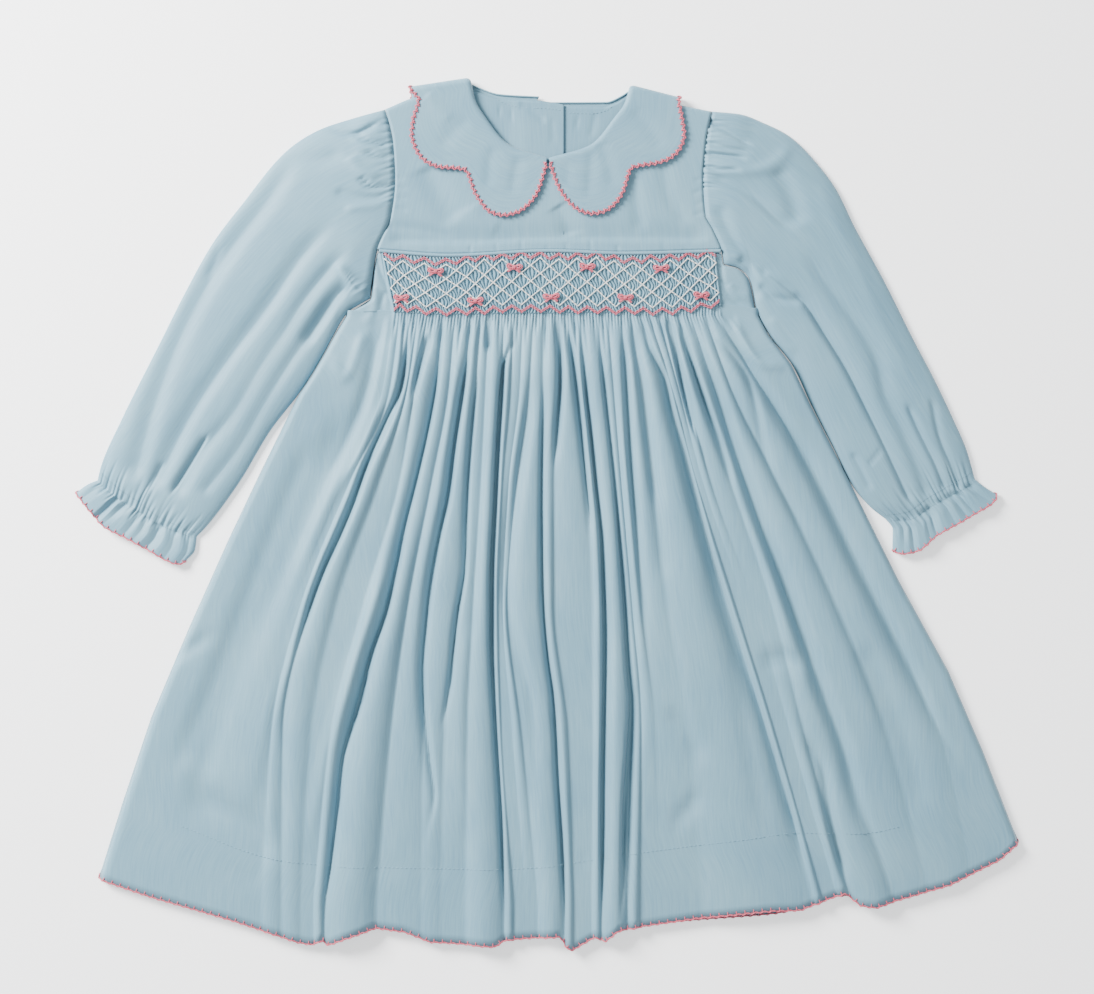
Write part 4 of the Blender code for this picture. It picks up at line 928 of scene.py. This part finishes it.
def buildFrontSkirt():
    depths = np.linspace(0.0, 420.0, 141)
    valley = np.array([soft(gatherLevels, x, depths) for x, _ in gathers], float)
    deep = np.array([soft(gatherLevels, deep, depths) for _, deep in gathers], float)
    top = skirtLook["top"]
    lines = [valley]
    for seam, inset, spot in ((seamLeft, 0.25, 0), (seamRight, -0.25, 2)):
        side = np.interp(depths - top, [-p[1] for p in seam], [p[0] for p in seam]) + inset
        lines.insert(spot, [side])
    lines = np.concatenate(lines)
    width = np.diff(lines, axis=0)
    ridge = np.zeros_like(width)
    ridge[1:-1] = np.minimum(0.55 * np.maximum(deep[:-1], deep[1:]), 0.35 * width[1:-1])
    start = lines[:, 0]
    side = skirtLook["sideColumns"]
    across = np.r_[
        np.linspace(start[0], smockFrom, side, endpoint=False),
        np.linspace(smockFrom, smockTo, skirtLook["pleats"] * skirtLook["perPleat"], endpoint=False),
        np.linspace(smockTo, start[-1], side + 1),
    ]
    place = np.interp(across, start, np.arange(len(lines)))
    pleat = (across - smockFrom) / (smockTo - smockFrom) * skirtLook["pleats"]
    v = np.linspace(0.0, 1.0, skirtLook["rows"] + 1) ** 1.45
    grid = np.zeros((len(v), len(place), 3))
    for j, at in enumerate(place):
        k = min(int(at), len(width) - 1)
        share = at - k
        x = lines[k] + share * width[k]
        stand = ridge[k] * math.sin(math.pi * share) ** 0.75
        footY = levelAt((seamLeft[4], *bandFoot, seamRight[4]), across[j]) + 1.2
        hemY = levelAt(frontHem, x[-1])
        for _ in range(2):
            hemY = levelAt(frontHem, np.interp(top - hemY, depths, x))
        y = footY + v * (hemY - footY)
        grid[:, j, 0] = np.interp(top - y, depths, x)
        grid[:, j, 1] = y
        grid[:, j, 2] = restLevel(y) + 0.6 + np.interp(top - y, depths, stand) * ease((y[0] - y) / 14.0)
    below = grid[:1, :, 1] - grid[..., 1]
    down = below / below[-1]
    body = ease(below / 45.0) * (skirtLook["body"] + (skirtLook["bodyHem"] - skirtLook["body"]) * down)
    inBand = ease((pleat + 1.0) / 2.0) * ease((skirtLook["pleats"] + 1.0 - pleat) / 2.0)
    pleats = 1.3 * np.abs(np.cos(math.pi * (pleat - 0.5))) ** 0.8
    fine = pleats[None, :] * (1.0 - ease(below / 16.0)) * inBand
    folds = skirtLook["foldScale"] * creases(grid[..., :2], skirtFolds) + creases(grid[..., :2], sideCreases)
    grid[..., 2] += body + fine + gatherTicks(pleat[None, :] + 0.0 * below, below) + folds
    grid[..., 2] -= skirtLook["tuckUnder"] * (1.0 - ease(below / 6.0))
    grid[..., 2] = np.maximum(grid[..., 2], restLevel(grid[..., 1]) + 0.65)
    edge = np.minimum(np.abs(grid[..., 0] - grid[:, :1, 0]), np.abs(grid[:, -1:, 0] - grid[..., 0])) / 4.0
    low = skirtLook["lowEdge"]
    grid[..., 2] = low + (grid[..., 2] - low) * rounded(edge)
    piece = clothPiece("frontSkirtPanel", grid, walls["front"], cotton, "front_skirt")
    return grid


frontSkirtGrid = buildFrontSkirt()
print("front skirt done")

# Smocked band

bandRows = {
    "down": (0.0, 0.2, 0.45, 0.75, 1.0),
    "start": (-108.2, -106.6, -104.7, -102.4, -100.4),
    "end": (109.4, 110.2, 111.1, 112.2, 113.2),
    "low": (5.0, 5.0, 4.2, 2.4, 1.6),
    "full": (6.3, 6.3, 6.2, 5.9, 5.6),
}
bandLook = {
    "pleats": 105, "perPleat": 8, "rows": 40, "valley": 5.6, "rise": 1.7, "margin": 14, "turn": 4.0,
    "depth": 43.0, "firstRow": 3.0, "rowPitch": 5.1, "perDiamond": 6.0, "pull": 0.45, "sink": 0.45,
}


def bandPoint(across, down):
    # place on the smocked band from its share across and down
    start = soft(bandRows["down"], bandRows["start"], down)
    end = soft(bandRows["down"], bandRows["end"], down)
    x = start + across * (end - start)
    top = pipingLevel(x) - 1.3
    foot = levelAt(bandFoot, x)
    return x, top + down * (foot - top)


def buildBand():
    count = bandLook["pleats"] * bandLook["perPleat"]
    down = np.linspace(0.0, 1.0, bandLook["rows"] + 1)
    across = np.broadcast_to(np.linspace(0.0, 1.0, count + 1), (len(down), count + 1))
    wave = across * bandLook["pleats"]
    row = (down[:, None] * bandLook["depth"] - bandLook["firstRow"]) / bandLook["rowPitch"]
    calm = ease(np.minimum(across, 1.0 - across) / 0.03)
    diamond = 2.0 * math.pi * (wave - 1.0) / bandLook["perDiamond"]
    pull = -bandLook["pull"] * np.cos(math.pi * row) * np.sin(diamond) * calm
    x, y = bandPoint(across + pull / bandLook["pleats"], np.broadcast_to(down[:, None], across.shape))
    crown = np.abs(np.cos(math.pi * (wave - 0.5))) ** 0.8
    node = np.cos(math.pi * row) * np.cos(diamond)
    z = bandLook["valley"] + bandLook["rise"] * crown - bandLook["sink"] * ease(node) * crown
    middle = np.stack([x, y, z], axis=-1)
    low = soft(bandRows["down"], bandRows["low"], down)[:, None]
    full = soft(bandRows["down"], bandRows["full"], down)[:, None]
    rows = []
    for seam, end in ((seamLeft[:5], 0), (seamRight[:5], -1)):
        edge = np.stack([soft(bandRows["down"], [p[k] for p in seam], down) for k in (0, 1)], axis=-1)
        edge += (0.25, -0.25) if end == 0 else (-0.25, -0.25)
        share = np.linspace(0.0, 1.0, bandLook["margin"] + 1)[:-1]
        near = middle[:, end]
        flat = edge[:, None] + share[None, :, None] * (near[:, :2] - edge)[:, None]
        distance = np.linalg.norm(flat - edge[:, None], axis=-1)
        turned = rounded(distance / bandLook["turn"])
        margin = raised(flat, low + (full + creases(flat, sideCreases) - low) * turned)
        rows.append(margin if end == 0 else margin[:, ::-1])
    points = np.concatenate([rows[0], middle, rows[1]], axis=1)
    piece = clothPiece("smockedBand", points, walls["band"], cotton, "front_skirt")


buildBand()
print("smocking done")

# Piping

pipingLook = {"radius": 1.2, "level": 6.7, "around": 14, "along": 260}


def buildPiping():
    line = curve(pipingLine, np.linspace(0.004, 0.996, pipingLook["along"]))
    way = np.gradient(line, axis=0)
    way /= np.linalg.norm(way, axis=1)[:, None]
    side = np.stack([-way[:, 1], way[:, 0]], axis=-1)
    rings = []
    for turn in np.linspace(0.0, 2.0 * math.pi, pipingLook["around"] + 1):
        flat = line + side * pipingLook["radius"] * math.cos(turn)
        rings.append(raised(flat, pipingLook["level"] + pipingLook["radius"] * math.sin(turn)))
    above = pipingLook["level"] * mm
    cord = np.array(rings)
    clothPiece("yokePipingCord", cord, walls["piping"], cotton, "yoke_piping", closed=True, above=above)


buildPiping()
print("piping done")

# Buttons

buttonLook = {
    "rows": (252.0, 218.0, 184.0), "x": -4.2, "radius": 4.5, "thick": 1.9, "rim": 0.8, "dish": 0.45,
    "holeRadius": 0.55, "holeSpread": 1.35, "colour": (0.80, 0.82, 0.82), "roughness": 0.22,
}


def buttonMaterial():
    colour = buttonLook["colour"]
    values = {"Roughness": buttonLook["roughness"], "Coat Weight": 0.2}
    material, tree, shader = newMaterial("whiteButtonPlastic", values)
    spots = {"Vector": addNode(tree, "TexCoord").outputs["Object"]}
    cloud = addNode(tree, "TexNoise", {"Scale": 300.0}, spots).outputs["Fac"]
    tint = addRamp(tree, cloud, ((0.0, [0.94 * c for c in colour]), (1.0, colour)))
    tree.links.new(tint, shader.inputs["Base Color"])
    return material


def buildButton(number, y, material):
    look = buttonLook
    shape = bmesh.new()
    inner = look["radius"] - look["rim"]
    bmesh.ops.create_circle(shape, segments=40, radius=inner)
    for k in range(4):
        turn = math.radians(45.0 + 90.0 * k)
        ring = bmesh.ops.create_circle(shape, segments=12, radius=look["holeRadius"])["verts"]
        hole = Vector((math.cos(turn), math.sin(turn), 0.0)) * look["holeSpread"]
        bmesh.ops.translate(shape, verts=ring, vec=hole)
    bmesh.ops.triangle_fill(shape, edges=shape.edges[:], use_beauty=True)
    border = [edge for edge in shape.edges if edge.is_boundary]
    outline = [edge for edge in border if min(v.co.length for v in edge.verts) > inner - 0.1]
    for grow, rise in ((0.25, look["dish"]), (look["rim"] - 0.45, 0.0), (0.2, -0.35)):
        made = bmesh.ops.extrude_edge_only(shape, edges=outline)["geom"]
        outline = [edge for edge in made if isinstance(edge, bmesh.types.BMEdge)]
        for vert in {v for edge in outline for v in edge.verts}:
            flat = Vector((vert.co.x, vert.co.y, 0.0))
            vert.co += flat.normalized() * grow + Vector((0.0, 0.0, rise))
    bmesh.ops.recalc_face_normals(shape, faces=shape.faces[:])
    if sum(face.normal.z for face in shape.faces) < 0.0:
        bmesh.ops.reverse_faces(shape, faces=shape.faces[:])
    top = max(v.co.z for v in shape.verts)
    wall = [edge for edge in shape.edges if edge.is_boundary]
    made = bmesh.ops.extrude_edge_only(shape, edges=wall)["geom"]
    low = [v for v in made if isinstance(v, bmesh.types.BMVert)]
    for vert in low:
        vert.co.z = top - look["thick"]
    floorEdges = [edge for edge in shape.edges if edge.is_boundary]
    bmesh.ops.triangle_fill(shape, edges=floorEdges, use_beauty=True)
    bmesh.ops.recalc_face_normals(shape, faces=shape.faces[:])
    lift = look["thick"] - top
    for vert in shape.verts:
        vert.co = Vector(toPart((vert.co.x + look["x"], vert.co.y + y, vert.co.z + lift)))
    mesh = bpy.data.meshes.new(f"button{number}Disc")
    shape.to_mesh(mesh)
    shape.free()
    mesh.materials.append(material)
    dress(addObject(f"button{number}Disc", mesh), f"button_{number}")


whitePlastic = buttonMaterial()
for buttonNumber, buttonRow in enumerate(buttonLook["rows"], 1):
    buildButton(buttonNumber, buttonRow, whitePlastic)
print("buttons done")

# Threads

threadLook = {
    "white": (0.74, 0.74, 0.70), "pink": (0.58, 0.085, 0.135), "blue": (0.150, 0.300, 0.385),
    "roughness": 0.55,
}


def threadMaterial(name, colour):
    material, tree, shader = newMaterial(name, {"Roughness": threadLook["roughness"], "Sheen Weight": 0.3})
    spots = {"Vector": addNode(tree, "TexCoord").outputs["Object"]}
    ply = addNode(tree, "TexNoise", {"Scale": 1400.0, "Detail": 1.0}, spots).outputs["Fac"]
    tint = addRamp(tree, ply, ((0.35, [0.72 * c for c in colour]), (0.6, colour)))
    tree.links.new(tint, shader.inputs["Base Color"])
    bump = addNode(tree, "Bump", {"Strength": 0.4, "Distance": 0.0002}, {"Height": ply})
    tree.links.new(bump.outputs["Normal"], shader.inputs["Normal"])
    return material


whiteThread = threadMaterial("whiteCottonThread", threadLook["white"])
pinkThread = threadMaterial("coralPinkThread", threadLook["pink"])
blueThread = threadMaterial("paleBlueThread", threadLook["blue"])


def threadPiece(name, strands, material):
    # each strand is its points in millimetres and the thread's radius
    line = bpy.data.curves.new(name + "Line", "CURVE")
    line.dimensions = "3D"
    line.bevel_depth = mm
    line.bevel_resolution = 1
    line.use_fill_caps = True
    for points, radius in strands:
        points = np.array(points)
        points[:, 2] = np.maximum(points[:, 2], radius)       # nothing goes through the table
        spline = line.splines.new("POLY")
        spline.points.add(len(points) - 1)
        spline.points.foreach_set("co", np.c_[toPart(points), np.ones(len(points))].ravel())
        spline.points.foreach_set("radius", np.full(len(points), radius))
    holder = addObject(name + "Line", line)
    mesh = bpy.data.meshes.new_from_object(holder.evaluated_get(bpy.context.evaluated_depsgraph_get()))
    bpy.data.objects.remove(holder)
    bpy.data.curves.remove(line)
    mesh.name = name
    mesh.materials.clear()
    mesh.materials.append(material)
    mesh.polygons.foreach_set("use_smooth", np.ones(len(mesh.polygons), bool))
    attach(addObject(name, mesh), "root")
    print(name, sum(len(p.vertices) - 2 for p in mesh.polygons))


# lattice of the smocking: peaks of its top row on the grid, and the level of its bottom row there
lattice = {
    "x": (
        384.5, 403, 424.6, 446, 466.4, 484.3, 502.2, 521.1, 540.3, 559, 576.9, 596.3, 614.2, 632.6,
        650.5, 669.7, 687.6, 707, 724,
    ),
    "top": (
        259, 261.1, 263.6, 264.8, 261.8, 259.4, 259.4, 257.4, 257.9, 259.4, 258.6, 257.4, 261.1,
        263.1, 261.1, 260.3, 258.6, 256.1, 255,
    ),
    "foot": (
        303, 304.5, 307.5, 308.4, 307.7, 307, 305.4, 305, 305, 305.7, 306.3, 306.3, 307, 307, 308,
        307.5, 305, 301, 299,
    ),
    "rows": 6, "last": 35, "level": 7.55, "white": 0.38, "pink": 0.30,
    "first": 384.0, "span": 340.0, "leanNear": 10.0, "nearRun": 22.0, "leanFar": 4.0,
}


def latticeNode(step, row, drop=0.0):
    # where the stitches of this row meet, on the grid; the lower rows lean outwards at both ends
    order = np.arange(len(lattice["x"]))
    x, top, foot = (np.interp(step / 2.0, order, lattice[key]) for key in ("x", "top", "foot"))
    share = row / lattice["rows"]
    inside = x - lattice["first"]
    near = lattice["leanNear"] * math.exp(-inside / lattice["nearRun"])
    lean = share * (near + lattice["leanFar"] * (inside / lattice["span"]) ** 3)
    return fromGrid((x + lean, top + share * (foot - top) + drop))


def stitchRun(a, b, count, level, radius, slant=0.0):
    # a row of short stitches from a to b, each arching over one pleat
    strands = []
    way = (b - a) / np.linalg.norm(b - a)
    side = np.array([-way[1], way[0]])
    for k in range(count):
        t = (k + np.array([-0.06, 0.15, 0.5, 0.85, 1.06])) / count
        place = a + t[:, None] * (b - a) + side * (slant * np.linspace(-1.0, 1.0, 5))[:, None]
        strands.append((raised(place, level + np.array([-0.6, -0.05, 0.12, -0.05, -0.6])), radius))
    return strands


def buildLattice():
    white, pink = [], []
    level = lattice["level"]
    for row in range(lattice["rows"]):
        for step in range(lattice["last"] + 1):
            if (step + row) % 2:
                continue
            here = latticeNode(step, row)
            for other in (step - 1, step + 1):
                if 0 <= other <= lattice["last"]:
                    white += stitchRun(here, latticeNode(other, row + 1), 3, level, lattice["white"])
    for step in range(lattice["last"]):
        high, low = (step, step + 1) if step % 2 == 0 else (step + 1, step)
        for drop in (-6.6, -4.9):
            a, b = latticeNode(high, 0, drop + 0.4), latticeNode(low, 0, drop + 6.4)
            ends = (a, b) if step % 2 == 0 else (b, a)
            pink += stitchRun(*ends, 3, level - 0.1, lattice["pink"], slant=0.22)
        for drop in (6.0, 7.7):
            a, b = latticeNode(high, lattice["rows"], drop), latticeNode(low, lattice["rows"], drop - 6.2)
            ends = (a, b) if step % 2 == 0 else (b, a)
            pink += stitchRun(*ends, 3, level + 0.25, lattice["pink"], slant=0.22)
    threadPiece("whiteTrellis", white, whiteThread)
    threadPiece("pinkZigzags", pink, pinkThread)


bowLook = {
    "places": (
        (435.8, 271.8), (514.1, 267.8), (586.8, 267.3), (660.9, 268.8), (401.7, 298.4),
        (475.6, 301.4), (551.0, 297.4), (625.3, 298.1), (701.2, 295.7),
    ),
    "loop": 5.0, "rise": 1.7, "tail": 4.3, "drop": 2.5, "radius": 0.46, "level": 8.0,
}


def buildBows():
    draw = np.random.default_rng(11)
    strands = []
    look = bowLook
    for place in look["places"]:
        middle = fromGrid(place)
        tilt = math.radians(draw.uniform(-5.0, 5.0))
        turn = np.array([[math.cos(tilt), -math.sin(tilt)], [math.sin(tilt), math.cos(tilt)]])
        for side in (-1.0, 1.0):
            size = draw.uniform(0.93, 1.07)
            for fat, reach, lift in ((1.05, 1.0, 0.0), (0.55, 0.78, 0.35)):
                way = np.linspace(0.0, 2.0 * math.pi, 15)[:-1]
                out = look["loop"] * size * reach * (0.5 - 0.5 * np.cos(way))
                wide = look["rise"] * fat * np.sin(way) * np.sin(way / 2.0) ** 0.6
                flat = np.stack([side * out, 0.9 * out / look["loop"] + wide], axis=-1)
                flat = np.concatenate([flat, flat[:1]])
                z = look["level"] + lift + 0.5 * np.sin(np.linspace(0.0, math.pi, len(flat)))
                strands.append((raised(middle + flat @ turn.T, z), look["radius"]))
            for spread in (0.0, 0.75):
                t = np.linspace(0.0, 1.0, 6)
                out = side * look["tail"] * t * (1.0 - 0.18 * spread)
                flat = np.stack([out, -look["drop"] * t ** 0.8 - spread * 0.75 * t], axis=-1)
                z = look["level"] - 0.1 + 0.35 * np.sin(math.pi * t)
                strands.append((raised(middle + flat @ turn.T, z), look["radius"] * 0.92))
        for across in (-0.55, 0.05, 0.6):
            t = np.linspace(-1.0, 1.0, 6)
            flat = np.stack([across + 0.1 * t, 1.25 * t], axis=-1)
            z = look["level"] + 1.15 - 0.9 * t * t
            strands.append((raised(middle + flat @ turn.T, z), look["radius"]))
    threadPiece("pinkBows", strands, pinkThread)


def walk(edge, inner, spacing):
    # even steps along a cloth edge, with the way along it, the way into the cloth and the way off its face
    length = np.r_[0.0, np.cumsum(np.linalg.norm(np.diff(edge, axis=0), axis=1))]
    count = max(2, int(round(length[-1] / spacing)))
    at = np.linspace(0.0, length[-1], count + 1)
    place = np.stack([np.interp(at, length, edge[:, k]) for k in range(3)], axis=-1)
    inside = np.stack([np.interp(at, length, inner[:, k]) for k in range(3)], axis=-1) - place
    way = np.gradient(place, axis=0)
    way /= np.linalg.norm(way, axis=1)[:, None]
    inside -= (inside * way).sum(axis=1)[:, None] * way
    inside /= np.linalg.norm(inside, axis=1)[:, None]
    off = np.cross(way, inside)
    off /= np.linalg.norm(off, axis=1)[:, None]
    if off[len(off) // 3][2] < 0.0:
        off = -off
    return at, place, inside, off


def edging(name, edge, inner, look):
    # two threads that cross each other along an edge, with short stitches into the cloth
    at, place, inside, off = walk(edge, inner, look["pitch"] / look["steps"])
    turn = 2.0 * math.pi * at / look["pitch"]
    strands = []
    for phase, swing, thick in ((0.0, 1.0, look["radius"]), (math.pi, 0.3, 0.62 * look["radius"])):
        sway = look["inset"] + swing * look["sway"] * np.sin(turn + phase)
        lift = look["lift"] + 0.5 * look["radius"] * np.cos(turn + phase)
        strands.append((place + inside * sway[:, None] + off * lift[:, None], thick))
    for k in range(0, len(at), look["steps"]):
        t = np.linspace(0.0, 1.0, 4)[:, None]
        into = inside[k] * (look["inset"] + look["reach"] * t)
        stitch = place[k] + into + off[k] * (look["lift"] + 0.25 - 0.55 * t ** 2)
        strands.append((stitch, look["radius"] * 0.9))
    threadPiece(name, strands, pinkThread)


collarEdging = {
    "pitch": 3.9, "steps": 6, "inset": 0.05, "sway": 1.15, "lift": 0.40, "radius": 0.42, "reach": 1.9,
    "first": 10,
}
hemEdging = {
    "pitch": 5.6, "steps": 5, "inset": 0.05, "sway": 0.55, "lift": 0.30, "radius": 0.36, "reach": 2.3,
}


def runningStitch(path, grid, length, gap, radius):
    # stitches that lie on the cloth along a path
    flat = grid[..., :2].reshape(-1, 2)
    level = grid[..., 2].reshape(-1)
    total = np.linalg.norm(np.diff(path, axis=0), axis=1).sum()
    count = int(total / (length + gap))
    strands = []
    for k in range(count):
        ends = curve(path, np.array([k, k + length / (length + gap)]) / count)
        points = ends[0] + np.array([0.0, 0.25, 0.75, 1.0])[:, None] * (ends[1] - ends[0])
        height = [level[np.argmin(((flat - end) ** 2).sum(axis=1))] for end in (points[0], points[-1])]
        z = np.interp([0.0, 0.25, 0.75, 1.0], [0.0, 1.0], height) + np.array([-0.15, 0.12, 0.12, -0.15])
        strands.append((raised(points, z), radius))
    return strands


buildLattice()
buildBows()
for sideName, lines in collarGrids.items():
    first = collarEdging["first"]
    edge = np.concatenate([lines[0, first:-1], lines[:, -1]])
    inner = np.concatenate([lines[5, first:-1], lines[:, -4]])
    edging(f"collarEdging{sideName}", edge, inner, collarEdging)
for sideName, (loops, _) in sleeveGrids.items():
    edging(f"cuffEdging{sideName}", loops[-1], loops[-4], hemEdging)
edging("frontHemEdging", frontSkirtGrid[-1], frontSkirtGrid[-3], hemEdging)
edging("backHemEdging", backSkirtGrid[-1], backSkirtGrid[-2], hemEdging)
threadPiece("hemStitches", runningStitch(fromGrid(hemLine), frontSkirtGrid, 1.9, 0.9, 0.2), blueThread)


def elasticStitches():
    # two rows of short stitches that hold the elastic, one stitch to each small gather
    strands = []
    for loops, elastic in sleeveGrids.values():
        for row in (elastic - 2, elastic + 1):
            for column in range(6, 224, 4):
                points = loops[row, column:column + 3] + (0.0, 0.0, 0.12)
                strands.append((points, 0.17))
    threadPiece("elasticStitches", strands, blueThread)


neckLines = (
    ((497, 99), (508, 104), (525, 107), (545, 108), (562, 110)),
    ((569, 112), (590, 113), (606, 110), (613, 105)),
)


def neckStitches():
    strands = []
    for line, grid in zip(neckLines, backYokeGrids):
        strands += runningStitch(fromGrid(line), grid, 1.5, 0.8, 0.17)
    threadPiece("neckStitches", strands, blueThread)


elasticStitches()
neckStitches()
print("threads done")

# Floor, light and camera

stageLook = {
    "floor": (0.97, 0.97, 0.97), "glow": 0.60, "sky": 0.80,
    "lights": (("keyLight", (-1.35, 0.95, 0.95), 0.7, 150.0), ("fillLight", (1.2, -0.8, 1.9), 1.6, 14.0)),
    "lens": 63.0, "sensor": 36.0, "camera": (-0.0001, 0.0111, 1.25),
}


def buildStage():
    shape = bmesh.new()
    bmesh.ops.create_grid(shape, x_segments=1, y_segments=1, size=4.0)
    mesh = bpy.data.meshes.new("floor")
    shape.to_mesh(mesh)
    shape.free()
    floor = addObject("floor", mesh)
    material, _, _ = newMaterial("paleFloor", {
        "Base Color": (*stageLook["floor"], 1.0), "Roughness": 0.8,
        "Emission Color": (1.0, 1.0, 1.0, 1.0), "Emission Strength": stageLook["glow"],
    })
    mesh.materials.append(material)
    world = bpy.data.worlds.new("studio")
    world.use_nodes = True
    sky = world.node_tree.nodes["Background"]
    sky.inputs["Color"].default_value = (0.93, 0.96, 1.0, 1.0)
    sky.inputs["Strength"].default_value = stageLook["sky"]
    bpy.context.scene.world = world
    for name, place, size, power in stageLook["lights"]:
        light = bpy.data.lights.new(name, "AREA")
        light.size = size
        light.energy = power
        lamp = addObject(name, light)
        lamp.location = place
        lamp.rotation_euler = (Vector((0.0, 0.0, 0.0)) - Vector(place)).to_track_quat("-Z", "Y").to_euler()
    lens = bpy.data.cameras.new("camera")
    lens.sensor_width = stageLook["sensor"]
    lens.lens = stageLook["lens"]
    camera = addObject("camera", lens)
    camera.location = stageLook["camera"]
    bpy.context.scene.camera = camera


buildStage()
print("stage done")
